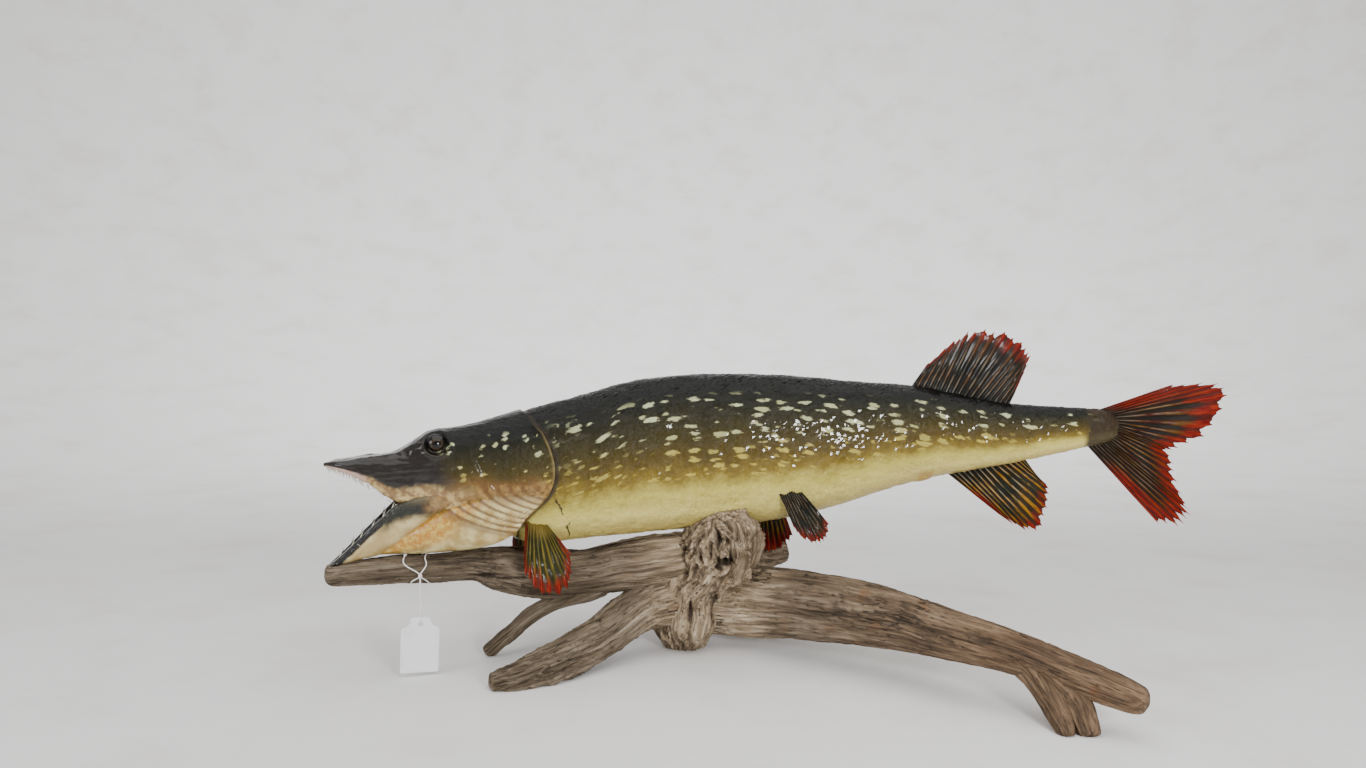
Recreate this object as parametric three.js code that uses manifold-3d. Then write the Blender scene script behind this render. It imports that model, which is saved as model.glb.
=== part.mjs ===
// A mounted northern pike on a piece of driftwood: a still, life-size display model.
// Millimetres, +Z up. The head points to -X and the viewer's side is -Y.
// The origin is on the floor, at the middle of the flat under the driftwood's knot.
import * as THREE from "three";
import { mergeVertices } from "three/addons/utils/BufferGeometryUtils.js";
import Module from "manifold-3d";

const wasm = await Module();
wasm.setup();
const { clamp, lerp, mapLinear, smoothstep } = THREE.MathUtils;

// ---------------------------------------------------------------- driving dimensions

const GAP = 0.35; // clear space between neighbouring pieces
const NOSE_X = -298; // tip of the upper jaw
const TAIL_ROOT_X = 376; // end of the flesh, inside the tail fin
const BODY_SIDES = 16;
const BODY_STEPS = 36;
const GILL_STEP = 1.4; // how far the head stands proud of the body behind it
const GILL_BLEND = [-150, -75]; // where the body behind the gills comes back to full size
const TRUNK_CUTS = [-22, 112, 226]; // breast | belly | loin | tail stalk
const UPPER_JAW_CUT = -243;

// The line of the backbone seen from above: [x, y].
const SPINE = [
  [-300, -84],
  [-215, -60],
  [-120, -33],
  [-20, -9],
  [60, 0],
  [150, 3],
  [250, 2],
  [372, -6],
  [490, -20],
];

// Head and body as one form: [x, top, bottom, half width].
const BODY = [
  [NOSE_X, 176, 173, 3],
  [-287, 178.5, 170, 13],
  [-265, 181, 158, 18.5],
  [-244, 184, 141, 20.5],
  [-218, 199.5, 131, 25],
  [-186, 205, 121, 31],
  [-137, 219, 101, 39],
  [-97, 228, 103, 41.5],
  [-35, 243, 107, 45],
  [30, 247, 111, 46.5],
  [95, 245, 118, 44.5],
  [150, 240, 133, 39.5],
  [204, 236, 150, 32],
  [247, 228, 158, 25],
  [290, 220, 166, 18.5],
  [340, 217, 177, 12.5],
  [TAIL_ROOT_X, 216, 184, 6],
];

// The dropped lower jaw: [x, rim, underside, half width].
const LOWER_JAW = [
  [-296, 91, 88.5, 3],
  [-288, 98, 91, 8],
  [-272, 114, 95, 13],
  [-258, 128, 98, 16.5],
  [-242, 143, 106, 20],
  [-220, 150, 124, 25],
  [-192, 152, 143, 29],
];

// Throat and the fan of gill rays under the head: [x, top, bottom, half width].
const THROAT = [
  [-264, 101, 98, 4],
  [-250, 110, 98, 11],
  [-235, 122, 98, 18],
  [-212, 138, 98.5, 26.5],
  [-190, 142, 99.5, 32.5],
  [-170, 142, 100, 37],
  [-150, 142, 104.5, 39.8],
  [-118, 142, 118, 41],
];

// Free edge of the gill cover, seen from the side: [height, x].
const GILL_EDGE = [
  [94, -232],
  [102, -187],
  [108, -166],
  [117, -151],
  [128, -143],
  [148, -125],
  [170, -120],
  [197, -128],
  [209, -138],
  [240, -158],
];

const EYE = { x: -212, side: 14.2, z: 190.5, radius: 9 };

// ---------------------------------------------------------------- helpers

// A smooth curve through rows [x, a, b, ...]: the a, b, ... values at x.
function along(rows, x) {
  const last = rows.length - 2;
  let i = 0;
  while (i < last && x > rows[i + 1][0]) i += 1;
  const [p0, p1] = [rows[Math.max(i - 1, 0)], rows[i]];
  const [p2, p3] = [rows[i + 1], rows[Math.min(i + 2, last + 1)]];
  const span = p2[0] - p1[0];
  const t = clamp((x - p1[0]) / span, 0, 1);
  return p1.slice(1).map((value, k) => {
    const c = k + 1;
    const startSlope = ((p2[c] - p0[c]) / (p2[0] - p0[0])) * span;
    const endSlope = ((p3[c] - p1[c]) / (p3[0] - p1[0])) * span;
    const rise = p2[c] - value;
    return (
      value +
      startSlope * t +
      (3 * rise - 2 * startSlope - endSlope) * t * t +
      (startSlope + endSlope - 2 * rise) * t * t * t
    );
  });
}

// A point of the fish, given along the straight fish, brought onto its curved backbone.
function onSpine(x, side, z) {
  const [y] = along(SPINE, x);
  const slope = (along(SPINE, x + 1)[0] - along(SPINE, x - 1)[0]) / 2;
  const length = Math.hypot(1, slope);
  return new THREE.Vector3(x - (side * slope) / length, y + side / length, z);
}

// Moves every vertex of a closed three.js geometry to place(x, y, z).
function shaped(geometry, place) {
  const position = geometry.getAttribute("position");
  const point = new THREE.Vector3();
  for (let i = 0; i < position.count; i += 1) {
    point.fromBufferAttribute(position, i);
    const moved = place(point.x, point.y, point.z);
    position.setXYZ(i, moved.x, moved.y, moved.z);
  }
  return geometry;
}

// A closed geometry as a manifold solid, with its faces turned to point out.
function solidOf(geometry) {
  const bare = geometry.clone();
  bare.deleteAttribute("normal");
  bare.deleteAttribute("uv");
  const merged = mergeVertices(bare, 1e-3);
  const vertProperties = merged.getAttribute("position").array;
  const triVerts = new Uint32Array(merged.index.array);
  const build = () => new wasm.Manifold(new wasm.Mesh({ numProp: 3, vertProperties, triVerts }));
  const solid = build();
  if (solid.volume() > 0) return solid;
  for (let i = 0; i < triVerts.length; i += 3) {
    [triVerts[i + 1], triVerts[i + 2]] = [triVerts[i + 2], triVerts[i + 1]];
  }
  return build();
}

// The largest body of a solid that a cut may have left in crumbs.
function largest(solid) {
  return solid.decompose().reduce((best, body) => (body.volume() > best.volume() ? body : best));
}

function without(solid, ...cutters) {
  return largest(cutters.reduce((rest, cutter) => rest.subtract(cutter), solid));
}

function boxSolid(low, high) {
  const size = new THREE.Vector3().subVectors(high, low);
  const middle = new THREE.Vector3().addVectors(low, high).multiplyScalar(0.5);
  const box = new THREE.BoxGeometry(size.x, size.y, size.z);
  return solidOf(box.translate(middle.x, middle.y, middle.z));
}

const REACH = 700;
const slab = (fromX, toX) =>
  boxSolid(new THREE.Vector3(fromX, -REACH, -REACH), new THREE.Vector3(toX, REACH, REACH));
const floor = boxSolid(new THREE.Vector3(-REACH, -REACH, -100), new THREE.Vector3(REACH, REACH, 0));

// ---------------------------------------------------------------- flesh

// A superellipse ring, at the angle that sine and cosine give, measured from the top.
// Its upper and lower halves may differ in squareness.
function ring(sine, cosine, halfWidth, halfHeight, { upper, lower = upper }) {
  const power = 2 / (cosine > 0 ? upper : lower);
  const bulge = (value) => (Math.abs(value) < 1e-6 ? 0 : Math.sign(value) * Math.abs(value) ** power);
  return { side: halfWidth * bulge(sine), up: halfHeight * bulge(cosine) };
}

// Closed flesh along the fish: rows [x, top, bottom, half width] swept with superellipse rings.
// It can be grown, by a number or by a function of x.
function flesh(rows, { sides, steps, squareness, grow = 0, spread = (t) => t }) {
  const growAt = typeof grow === "function" ? grow : () => grow;

  const first = rows[0][0];
  const length = rows.at(-1)[0] - first;
  const tube = new THREE.CylinderGeometry(1, 1, 1, sides, steps);
  return solidOf(
    shaped(tube, (sine, height, cosine) => {
      const share = height + 0.5;
      const x = first + length * spread(share);
      const [top, bottom, halfWidth] = along(rows, x);
      const onAxis = Math.hypot(sine, cosine) < 0.5;
      const extra = growAt(x);
      const halfHeight = onAxis ? 0 : (top - bottom) / 2 + extra;
      const { side, up } = ring(sine, cosine, onAxis ? 0 : halfWidth + extra, halfHeight, squareness(x));
      const ends = extra * (2 * share - 1);
      return onSpine(x + ends, side, (top + bottom) / 2 + up);
    }),
  );
}

// The snout and head are squarer than the body, and the nose has closer rings.
const bodySquareness = (x) => ({ upper: mapLinear(clamp(x, -250, -90), -250, -90, 2.8, 2.25) });
const wholeFish = (grow) =>
  flesh(BODY, {
    sides: BODY_SIDES,
    steps: BODY_STEPS,
    squareness: bodySquareness,
    spread: (t) => t ** 1.25,
    grow,
  });
const throatFlesh = (grow) =>
  flesh(THROAT, { sides: 12, steps: 8, squareness: () => ({ upper: 3, lower: 2.2 }), grow });
const jawFlesh = (grow) =>
  flesh(LOWER_JAW, { sides: 14, steps: 8, squareness: () => ({ upper: 7, lower: 2.3 }), grow });
const behindGills = (x) => -GILL_STEP * (1 - smoothstep(x, ...GILL_BLEND));

// Everything in front of the gill edge, moved back by a clearance, as a solid right across the fish.
function headSide(clearance) {
  const outline = new THREE.Shape();
  const [low, high] = [GILL_EDGE[0][0], GILL_EDGE.at(-1)[0]];
  const rings = 18;
  outline.moveTo(NOSE_X - 60, low - 60);
  outline.lineTo(along(GILL_EDGE, low)[0] + clearance, low - 60);
  for (let i = 0; i <= rings; i += 1) {
    const z = low + ((high - low) * i) / rings;
    outline.lineTo(along(GILL_EDGE, z)[0] + clearance, z);
  }
  outline.lineTo(NOSE_X - 60, high + 60);
  const width = 160;
  const block = new THREE.ExtrudeGeometry(outline, { depth: width, bevelEnabled: false, steps: 1 });
  return solidOf(shaped(block, (x, z, side) => onSpine(x, side - width / 2, z)));
}

const headRegion = headSide(0);
const headRegionGrown = headSide(GAP);
const headForm = wholeFish(0);
const fishGrown = wholeFish(GAP);
const throatGrown = throatFlesh(GAP);

// The eye is a ball set in its socket on each side of the head.
function eyeBall(sign, grow) {
  const centre = onSpine(EYE.x, sign * EYE.side, EYE.z);
  const ball = new THREE.SphereGeometry(EYE.radius + grow, 14, 9);
  return solidOf(ball.translate(centre.x, centre.y, centre.z));
}

// The bony gill cover: the side of the head between the cheek and the gill edge.
function coverRegion(sign, inset) {
  const cheekX = -181 + inset;
  const [low, high] = [134 + inset, 197 - inset];
  const outline = new THREE.Shape();
  const steps = 7;
  outline.moveTo(cheekX + 6, low);
  for (let i = 0; i <= steps; i += 1) {
    const z = low + ((high - low) * i) / steps;
    outline.lineTo(along(GILL_EDGE, z)[0] + 20, z);
  }
  outline.lineTo(cheekX + 14, high);
  outline.quadraticCurveTo(cheekX - 6, (low + high) / 2, cheekX + 6, low);
  const depth = 60;
  const block = new THREE.ExtrudeGeometry(outline, { depth, bevelEnabled: false, steps: 1, curveSegments: 6 });
  const nearest = 22 + inset;
  return solidOf(shaped(block, (x, z, side) => onSpine(x, sign * (nearest + side), z)));
}

// The roof of the mouth is hollowed between its two rows of teeth.
function palate() {
  const rows = [
    [-290, 171, 165, 7],
    [-270, 168, 150, 13],
    [-244, 151, 130, 15],
    [-228, 140, 118, 16],
  ];
  return flesh(rows, { sides: 12, steps: 6, squareness: () => ({ upper: 2.2 }) });
}

// The floor of the mouth: the trough between the two sides of the lower jaw.
function mouthFloor(grow) {
  const rows = [
    [-287, 112, 95.5, 4.5],
    [-272, 134, 101, 9.5],
    [-258, 150, 106, 12.5],
    [-242, 168, 114, 15.5],
    [-214, 175, 134, 20],
  ];
  return flesh(rows, { sides: 12, steps: 6, squareness: () => ({ upper: 2.4 }), grow });
}

// Teeth in a row along a jaw, leaning back: cones that are joined to the jaw.
function teeth(rows, count, length, inset, drop, edge, up) {
  const cones = [];
  for (const sign of [-1, 1]) {
    for (let i = 0; i < count; i += 1) {
      const x = rows.from + ((rows.to - rows.from) * i) / (count - 1);
      const [top, bottom, halfWidth] = along(edge, x);
      const tall = length * (i % 2 ? 0.6 : 1);
      const cone = new THREE.ConeGeometry(tall * 0.24, tall, 4);
      cone.translate(0, tall / 2 - drop, 0).rotateX(Math.PI / 2);
      if (!up) cone.rotateX(Math.PI);
      const root = onSpine(x, sign * (halfWidth - inset), up ? top : bottom);
      cones.push(solidOf(cone.translate(root.x, root.y, root.z)));
    }
  }
  return wasm.Manifold.union(cones);
}

function fishSolids() {
  const eyes = wasm.Manifold.union([eyeBall(-1, GAP), eyeBall(1, GAP)]);
  const covers = wasm.Manifold.union([coverRegion(-1, 0), coverRegion(1, 0)]);
  const jawGrown = jawFlesh(GAP);
  const skull = headForm.intersect(headRegion).subtract(eyes);
  const roof = palate();
  const upperTeeth = teeth({ from: -288, to: -268 }, 4, 5, 5, 2, BODY, false);
  const lowerTeeth = teeth({ from: -282, to: -248 }, 4, 6, 2.6, 2.5, LOWER_JAW, true);
  const trunk = wholeFish(behindGills).subtract(headRegionGrown);
  const [breastEnd, bellyEnd, loinEnd] = TRUNK_CUTS;
  const cover = (sign) => largest(skull.intersect(coverRegion(sign, GAP)));
  const jaw = without(jawFlesh(0), mouthFloor(0), fishGrown);
  const tongueRows = [
    [-268, 103.5, 100.5, 3.5],
    [-255, 113, 105, 7],
    [-238, 124, 113, 9],
    [-228, 130, 120, 9.5],
  ];
  const tongue = flesh(tongueRows, { sides: 10, steps: 4, squareness: () => ({ upper: 2.2 }) });
  return {
    upper_jaw: largest(skull.intersect(slab(-REACH, UPPER_JAW_CUT)).subtract(roof).add(upperTeeth)),
    head: without(skull.intersect(slab(UPPER_JAW_CUT + GAP, REACH)), roof, covers),
    gill_cover_left: cover(-1),
    gill_cover_right: cover(1),
    lower_jaw: largest(jaw.add(lowerTeeth)),
    tongue: without(tongue, jawGrown.subtract(mouthFloor(-GAP)), fishGrown),
    throat: without(throatFlesh(0).intersect(headRegion), fishGrown, jawGrown),
    breast: largest(trunk.intersect(slab(-REACH, breastEnd))),
    belly: largest(trunk.intersect(slab(breastEnd + GAP, bellyEnd))),
    loin: largest(trunk.intersect(slab(bellyEnd + GAP, loinEnd))),
    tail_stalk: largest(trunk.intersect(slab(loinEnd + GAP, REACH))),
    eye_left: eyeBall(-1, 0),
    eye_right: eyeBall(1, 0),
  };
}

// ---------------------------------------------------------------- fins

// A fin: a thin blade whose rays run from its root line to its tip line. Root and tip are rows
// [share, x, side, z] along the fish; the tip is cut back between the rays, as frayed membrane.
function fin({ root, tip, rays, rootThick, tipThick, steps = 2, bow = 0 }) {
  const columns = rays * 2;
  const blade = new THREE.BoxGeometry(1, 1, 1, columns, 1, steps);
  return shaped(blade, (across, through, out) => {
    const share = across + 0.5;
    const reach = out + 0.5;
    const from = along(root, share);
    const to = along(tip, share);
    const column = Math.round(share * columns);
    const notch = column % 2 ? 0.93 : 1 - 0.04 * Math.sin(column * 1.7) ** 2;
    const far = reach * (1 - (1 - notch) * reach);
    const thick = lerp(rootThick, tipThick, reach);
    const [x, side, z] = from.map((start, k) => lerp(start, to[k], far));
    return onSpine(x, side + through * thick + bow * Math.sin(Math.PI * reach), z);
  });
}

// The same for a row of root and tip points without their shares, spaced evenly.
const evenly = (points) => points.map((point, i) => [i / (points.length - 1), ...point]);
const midline = (points) => points.map(([share, x, z]) => [share, x, 0, z]);

function fins() {
  const median = { rootThick: 3.4, tipThick: 1 };
  const paired = { rootThick: 4, tipThick: 1.1, rays: 6 };
  const pectoral = (sign) => ({
    ...paired,
    root: evenly([
      [-142, sign * 27, 130],
      [-127, sign * 30, 122],
    ]),
    tip: evenly([
      [-147, sign * 44, 93],
      [-146, sign * 46, 82],
      [-138, sign * 47, 70],
      [-125, sign * 47, 62],
      [-110, sign * 46, 67],
      [-107, sign * 44, 80],
      [-107, sign * 42, 97],
    ]),
  });
  return {
    fin_dorsal: {
      ...median,
      rays: 10,
      root: midline([
        [0, 197, 228],
        [1, 287, 214],
      ]),
      tip: midline([
        [0, 217, 256],
        [0.1, 240, 277],
        [0.2, 259, 289],
        [0.45, 283, 288],
        [0.7, 303, 274],
        [0.86, 310, 264],
        [1, 301, 243],
      ]),
    },
    fin_anal: {
      ...median,
      rays: 9,
      root: midline([
        [0, 298, 176],
        [1, 236, 165],
      ]),
      tip: midline([
        [0, 318, 152],
        [0.15, 328, 142],
        [0.4, 327, 124],
        [0.65, 318, 103],
        [0.85, 302, 106],
        [1, 283, 119],
      ]),
    },
    fin_tail: {
      ...median,
      rays: 11,
      steps: 3,
      rootThick: 6,
      root: midline([
        [0, 366, 214],
        [0.5, 374, 201],
        [1, 356, 187],
      ]),
      tip: midline([
        [0, 432, 238],
        [0.07, 465, 240],
        [0.15, 479, 229],
        [0.3, 464, 196],
        [0.45, 440, 180],
        [0.52, 431, 176],
        [0.6, 438, 158],
        [0.76, 444, 134],
        [0.88, 452, 118],
        [0.95, 445, 108],
        [1, 423, 111],
      ]),
    },
    fin_pectoral_left: pectoral(-1),
    fin_pectoral_right: pectoral(1),
    fin_pelvic_left: {
      ...paired,
      root: evenly([
        [75, -36, 150],
        [93, -35, 150],
      ]),
      tip: evenly([
        [91, -46, 113],
        [99, -48, 104],
        [111, -49, 100],
        [120, -48, 102],
        [124, -46, 115],
      ]),
    },
    fin_pelvic_right: {
      ...paired,
      root: evenly([
        [66, 35, 138],
        [84, 34, 140],
      ]),
      tip: evenly([
        [64, 39, 84],
        [70, 40, 76],
        [80, 40, 74],
        [94, 39, 79],
        [102, 38, 91],
      ]),
    },
  };
}

// ---------------------------------------------------------------- driftwood

// A limb: rows [x, y, z, radius] swept with rings that the weathered grain makes uneven.
function limb(rows, { sides = 14, steps = 16, grow = 0, phase = 0 }) {
  const path = new THREE.CatmullRomCurve3(rows.map(([x, y, z]) => new THREE.Vector3(x, y, z)));
  const frames = path.computeFrenetFrames(steps, false);
  const tube = new THREE.CylinderGeometry(1, 1, 1, sides, steps);
  const radii = evenly(rows.map((row) => [row[3]]));
  return solidOf(
    shaped(tube, (sine, height, cosine) => {
      const share = clamp(height + 0.5, 0, 1);
      const at = Math.round(share * steps);
      const centre = path.getPoint(share);
      const onAxis = Math.hypot(sine, cosine) < 0.5;
      const angle = Math.atan2(sine, cosine);
      const ribs = 1 + 0.06 * Math.sin(3 * angle + phase + 4 * share) + 0.04 * Math.sin(5 * angle - phase);
      const rounded = at === 0 || at === steps ? 0.6 : 1;
      const radius = onAxis ? 0 : along(radii, share)[0] * ribs * rounded + grow;
      const endward = at === 0 ? -grow : at === steps ? grow : 0;
      return centre
        .addScaledVector(frames.tangents[at], endward)
        .addScaledVector(frames.normals[at], cosine * radius)
        .addScaledVector(frames.binormals[at], sine * radius);
    }),
  );
}

const LIMBS = {
  knot: {
    sides: 12,
    steps: 12,
    phase: 1,
    rows: [
      [-2, -2, -8, 8],
      [-2, -2, 4, 18],
      [-1, -5, 26, 30],
      [4, -8, 50, 30],
      [18, -14, 74, 27],
      [29, -21, 94, 29],
      [29, -30, 114, 23],
      [25, -37, 127, 10],
    ],
  },
  branch: {
    sides: 10,
    steps: 15,
    phase: 0.4,
    rows: [
      [-298, -85, 82, 7.5],
      [-286, -83, 83.5, 9.3],
      [-240, -73, 85.5, 11],
      [-209, -66, 85.5, 11.3],
      [-180, -55, 86, 12.6],
      [-161, -48, 82, 17.5],
      [-127, -40, 76.5, 21],
      [-89, -30, 75, 19],
      [-42, -20, 80, 21],
      [3, -10, 84, 21],
    ],
  },
  trunk: {
    sides: 11,
    steps: 13,
    phase: 2,
    rows: [
      [10, 4, 42, 28],
      [50, 0, 42, 31],
      [84, -22, 46, 29],
      [120, -54, 49.5, 26.5],
      [155, -84, 50.5, 24],
      [190, -117, 49, 20],
      [222, -147, 46, 16.5],
      [252, -173, 42, 14],
      [279, -195, 35.5, 12.5],
      [303, -215, 29.5, 11],
      [315, -225, 26.5, 8],
    ],
  },
  foot_left: {
    sides: 8,
    steps: 5,
    phase: 1,
    rows: [
      [234, -156, 46, 10],
      [251, -177, 35, 10.5],
      [259, -193, 21, 9],
      [263, -206, 8, 7.5],
      [265, -214, -2, 4.5],
    ],
  },
  foot_right: {
    sides: 8,
    steps: 5,
    phase: 2.2,
    rows: [
      [246, -165, 45, 12],
      [264, -184, 33, 13],
      [275, -198, 19, 11],
      [279, -207, 6, 9],
      [280, -212, -3, 7.5],
    ],
  },
  root_front: {
    sides: 10,
    steps: 10,
    phase: 3,
    rows: [
      [-8, -8, 44, 24],
      [-42, -25, 39, 19],
      [-74, -55, 23, 16.5],
      [-105, -88, 12.5, 14.5],
      [-134, -110, 7.5, 10.5],
      [-157, -120, 5, 6.5],
    ],
  },
  root_thin: {
    sides: 8,
    steps: 9,
    phase: 0,
    rows: [
      [-72, -27, 66, 12],
      [-92, -29, 56, 9.5],
      [-116, -30, 47, 7],
      [-138, -32, 35, 6.5],
      [-156, -31, 19, 6],
      [-177, -30, 1.5, 5],
    ],
  },
  limb_back: {
    sides: 10,
    steps: 12,
    phase: 2.5,
    rows: [
      [-104, 46, 71, 4.5],
      [-81, 46, 74, 8],
      [-54, 46, 77, 11.5],
      [-27, 42, 80, 13.5],
      [0, 27, 80, 18],
      [28, 29, 76, 18],
      [50, 49, 71, 14],
      [70, 61, 69.5, 12.5],
      [86, 68, 71.5, 11],
      [99, 71, 73, 8],
    ],
  },
  root_back: {
    sides: 10,
    steps: 7,
    phase: 1.5,
    rows: [
      [16, 10, 48, 22],
      [48, 42, 36, 16],
      [78, 72, 19, 12],
      [104, 98, 2, 9],
    ],
  },
};

function woodSolids() {
  const wood = (name, grow = 0) => limb(LIMBS[name].rows, { ...LIMBS[name], grow });
  const knotGrown = wood("knot", GAP);
  const branchGrown = wood("branch", GAP);
  const trunkPieces = ["trunk", "foot_left", "foot_right"];
  const trunkForm = (grow) => wasm.Manifold.union(trunkPieces.map((name) => wood(name, grow)));
  const trunkGrown = trunkForm(GAP);
  const backGrown = wood("limb_back", GAP);
  const rests = [jawFlesh(GAP), throatGrown];
  return {
    wood_knot: without(wood("knot"), fishGrown, floor),
    wood_branch: without(wood("branch"), knotGrown, ...rests),
    wood_trunk: without(trunkForm(0), knotGrown, floor),
    wood_root_front: without(wood("root_front"), knotGrown, trunkGrown, branchGrown, floor),
    wood_root_thin: without(wood("root_thin"), branchGrown, wood("root_front", GAP), floor),
    wood_limb_back: without(wood("limb_back"), knotGrown, branchGrown, trunkGrown),
    wood_root_back: without(wood("root_back"), knotGrown, trunkGrown, backGrown, floor),
  };
}

// ---------------------------------------------------------------- paper tag

const TAG = { x: -219.5, y: -84.8, top: 48.7, width: 30.6, height: 45.6, thick: 0.6, turn: 0.32, lean: 0.04 };
const STRING = { radius: 0.7, knotZ: 82.7, hole: 5.4, holeRadius: 2.1 };

// Two turns of string round the branch, crossing at a knot in front, from which the tag hangs.
function tie(grow) {
  const radius = 14.6;
  const turns = [
    { x: -221.5, lean: -0.75 },
    { x: -217.5, lean: 0.45 },
  ].map(({ x, lean }) => {
    const turn = new THREE.TorusGeometry(radius, STRING.radius + grow, 4, 16);
    turn.rotateY(Math.PI / 2);
    const place = (onTurn, y, z) => new THREE.Vector3(x + onTurn + lean * z, -68.9 + y, 85.7 + z);
    return solidOf(shaped(turn, place));
  });
  const knot = new THREE.SphereGeometry(1.5 + grow, 6, 4).translate(TAG.x, TAG.y, STRING.knotZ);
  return wasm.Manifold.union([...turns, solidOf(knot)]);
}

// The card hangs from the hole in its neck, a little turned and leaning.
function cardSolid() {
  const { width, height, thick } = TAG;
  const half = width / 2;
  const shoulder = height - 9;
  const outline = new THREE.Shape();
  outline.moveTo(half - 2.5, 0);
  outline.quadraticCurveTo(half, 0, half, 2.5);
  outline.lineTo(half, shoulder - 2);
  outline.quadraticCurveTo(half, shoulder, half - 3, shoulder);
  outline.quadraticCurveTo(half - 5, shoulder + 5, half - 9, shoulder + 5);
  outline.quadraticCurveTo(half - 11, height, 0, height);
  outline.quadraticCurveTo(11 - half, height, 9 - half, shoulder + 5);
  outline.quadraticCurveTo(5 - half, shoulder + 5, 3 - half, shoulder);
  outline.quadraticCurveTo(-half, shoulder, -half, shoulder - 2);
  outline.lineTo(-half, 2.5);
  outline.quadraticCurveTo(-half, 0, 2.5 - half, 0);
  const hole = new THREE.Path();
  hole.absarc(0, height - STRING.hole, STRING.holeRadius, 0, 2 * Math.PI, true);
  outline.holes.push(hole);
  const card = new THREE.ExtrudeGeometry(outline, { depth: thick, bevelEnabled: false, curveSegments: 4 });
  card.translate(0, STRING.hole - height, -thick / 2).rotateX(Math.PI / 2);
  card.rotateY(TAG.lean).rotateZ(TAG.turn);
  return solidOf(card.translate(TAG.x, TAG.y, TAG.top - STRING.hole));
}

// The doubled string from the knot down to the top edge of the card.
function stringSolid() {
  const { radius, knotZ } = STRING;
  const [low, high] = [TAG.top + GAP, knotZ - 1.5 - GAP];
  const section = new THREE.Shape().absarc(0, 0, radius, 0, 2 * Math.PI);
  const steps = Math.round((high - low) / (5 * radius));
  const extrusion = { depth: high - low, bevelEnabled: false, curveSegments: 4, steps };
  return solidOf(new THREE.ExtrudeGeometry(section, extrusion).translate(TAG.x, TAG.y, low));
}

function tagSolids() {
  return { tag_card: cardSolid(), tag_string: stringSolid(), tag_loop: tie(0) };
}

// ---------------------------------------------------------------- assembly

const finish = (color, roughness, metalness = 0) =>
  new THREE.MeshStandardMaterial({ color, roughness, metalness });
const MATERIALS = {
  skin: finish(0x4a4a22, 0.3),
  belly: finish(0xc9bd85, 0.35),
  fin: finish(0x7a3a1c, 0.35),
  eye: finish(0x1c130c, 0.08),
  mouth: finish(0xb58a66, 0.4),
  wood: finish(0x85715d, 0.85),
  paper: finish(0xf2f2f0, 0.7),
  thread: finish(0xeeeeea, 0.8),
};
const MATERIAL_OF = { throat: "belly", tongue: "mouth", tag_card: "paper" };
const PREFIXES = { fin_: "fin", eye_: "eye", wood_: "wood", tag_: "thread" };

function materialFor(name) {
  const prefix = Object.keys(PREFIXES).find((start) => name.startsWith(start));
  return MATERIALS[MATERIAL_OF[name] ?? PREFIXES[prefix] ?? "skin"];
}

function meshOf(name, solid) {
  const { vertProperties, triVerts } = solid.getMesh();
  const geometry = new THREE.BufferGeometry();
  geometry.setAttribute("position", new THREE.BufferAttribute(new Float32Array(vertProperties), 3));
  geometry.setIndex(new THREE.BufferAttribute(new Uint32Array(triVerts), 1));
  geometry.computeVertexNormals();
  const mesh = new THREE.Mesh(geometry, materialFor(name));
  mesh.name = name;
  return mesh;
}

const solids = {
  ...fishSolids(),
  ...woodSolids(),
  ...tagSolids(),
};
const flank = fishGrown.add(throatGrown);
const woodGrown = limb(LIMBS.branch.rows, { ...LIMBS.branch, grow: GAP });
for (const [name, shape] of Object.entries(fins())) {
  solids[name] = without(solidOf(fin(shape)), flank, woodGrown);
}
solids.throat = without(solids.throat, tie(2 * GAP));

const pike = new THREE.Group();
for (const [name, solid] of Object.entries(solids)) pike.add(meshOf(name, solid));

export default pike;
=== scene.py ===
# %% [markdown]
# # A mounted pike on driftwood
#
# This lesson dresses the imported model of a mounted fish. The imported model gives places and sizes. Every
# visible surface is worked out here with numpy, as a function of two parameters on a grid.
# Lengths in the tables are in millimetres, and one helper turns them into Blender's metres.

# %% The frame
import math

import bmesh
import bpy
import numpy as np
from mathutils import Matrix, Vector


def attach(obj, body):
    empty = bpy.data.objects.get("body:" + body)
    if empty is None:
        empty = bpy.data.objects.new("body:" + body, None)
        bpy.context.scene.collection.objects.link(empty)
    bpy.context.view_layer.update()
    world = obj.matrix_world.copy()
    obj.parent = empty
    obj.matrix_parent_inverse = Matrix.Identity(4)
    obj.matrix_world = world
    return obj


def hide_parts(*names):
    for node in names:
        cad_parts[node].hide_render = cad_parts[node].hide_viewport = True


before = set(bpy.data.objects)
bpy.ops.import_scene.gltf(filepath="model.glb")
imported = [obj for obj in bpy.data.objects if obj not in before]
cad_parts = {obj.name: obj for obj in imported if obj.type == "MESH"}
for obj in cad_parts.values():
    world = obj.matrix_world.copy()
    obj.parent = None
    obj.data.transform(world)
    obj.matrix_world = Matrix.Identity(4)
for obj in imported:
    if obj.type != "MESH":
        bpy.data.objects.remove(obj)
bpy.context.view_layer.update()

MM = 0.001

# %% [markdown]
# ## Camera and light
#
# The camera comes first, because a hanging string is measured against its view. A wide lens stands close
# to the mount and looks slightly down on the driftwood. Such a display stands in a white tent, which could
# be built as glowing walls. Four soft lamps do it with less noise: a big one overhead, one from the left, a
# small one beside the camera whose reflection breaks up in the lacquer, and one behind the mount that
# lights the backdrop.


# %% Camera
def placed(name, data):
    """An object at the origin that shows this camera, lamp, curve or mesh."""
    obj = bpy.data.objects.new(name, data)
    bpy.context.scene.collection.objects.link(obj)
    return obj


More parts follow.
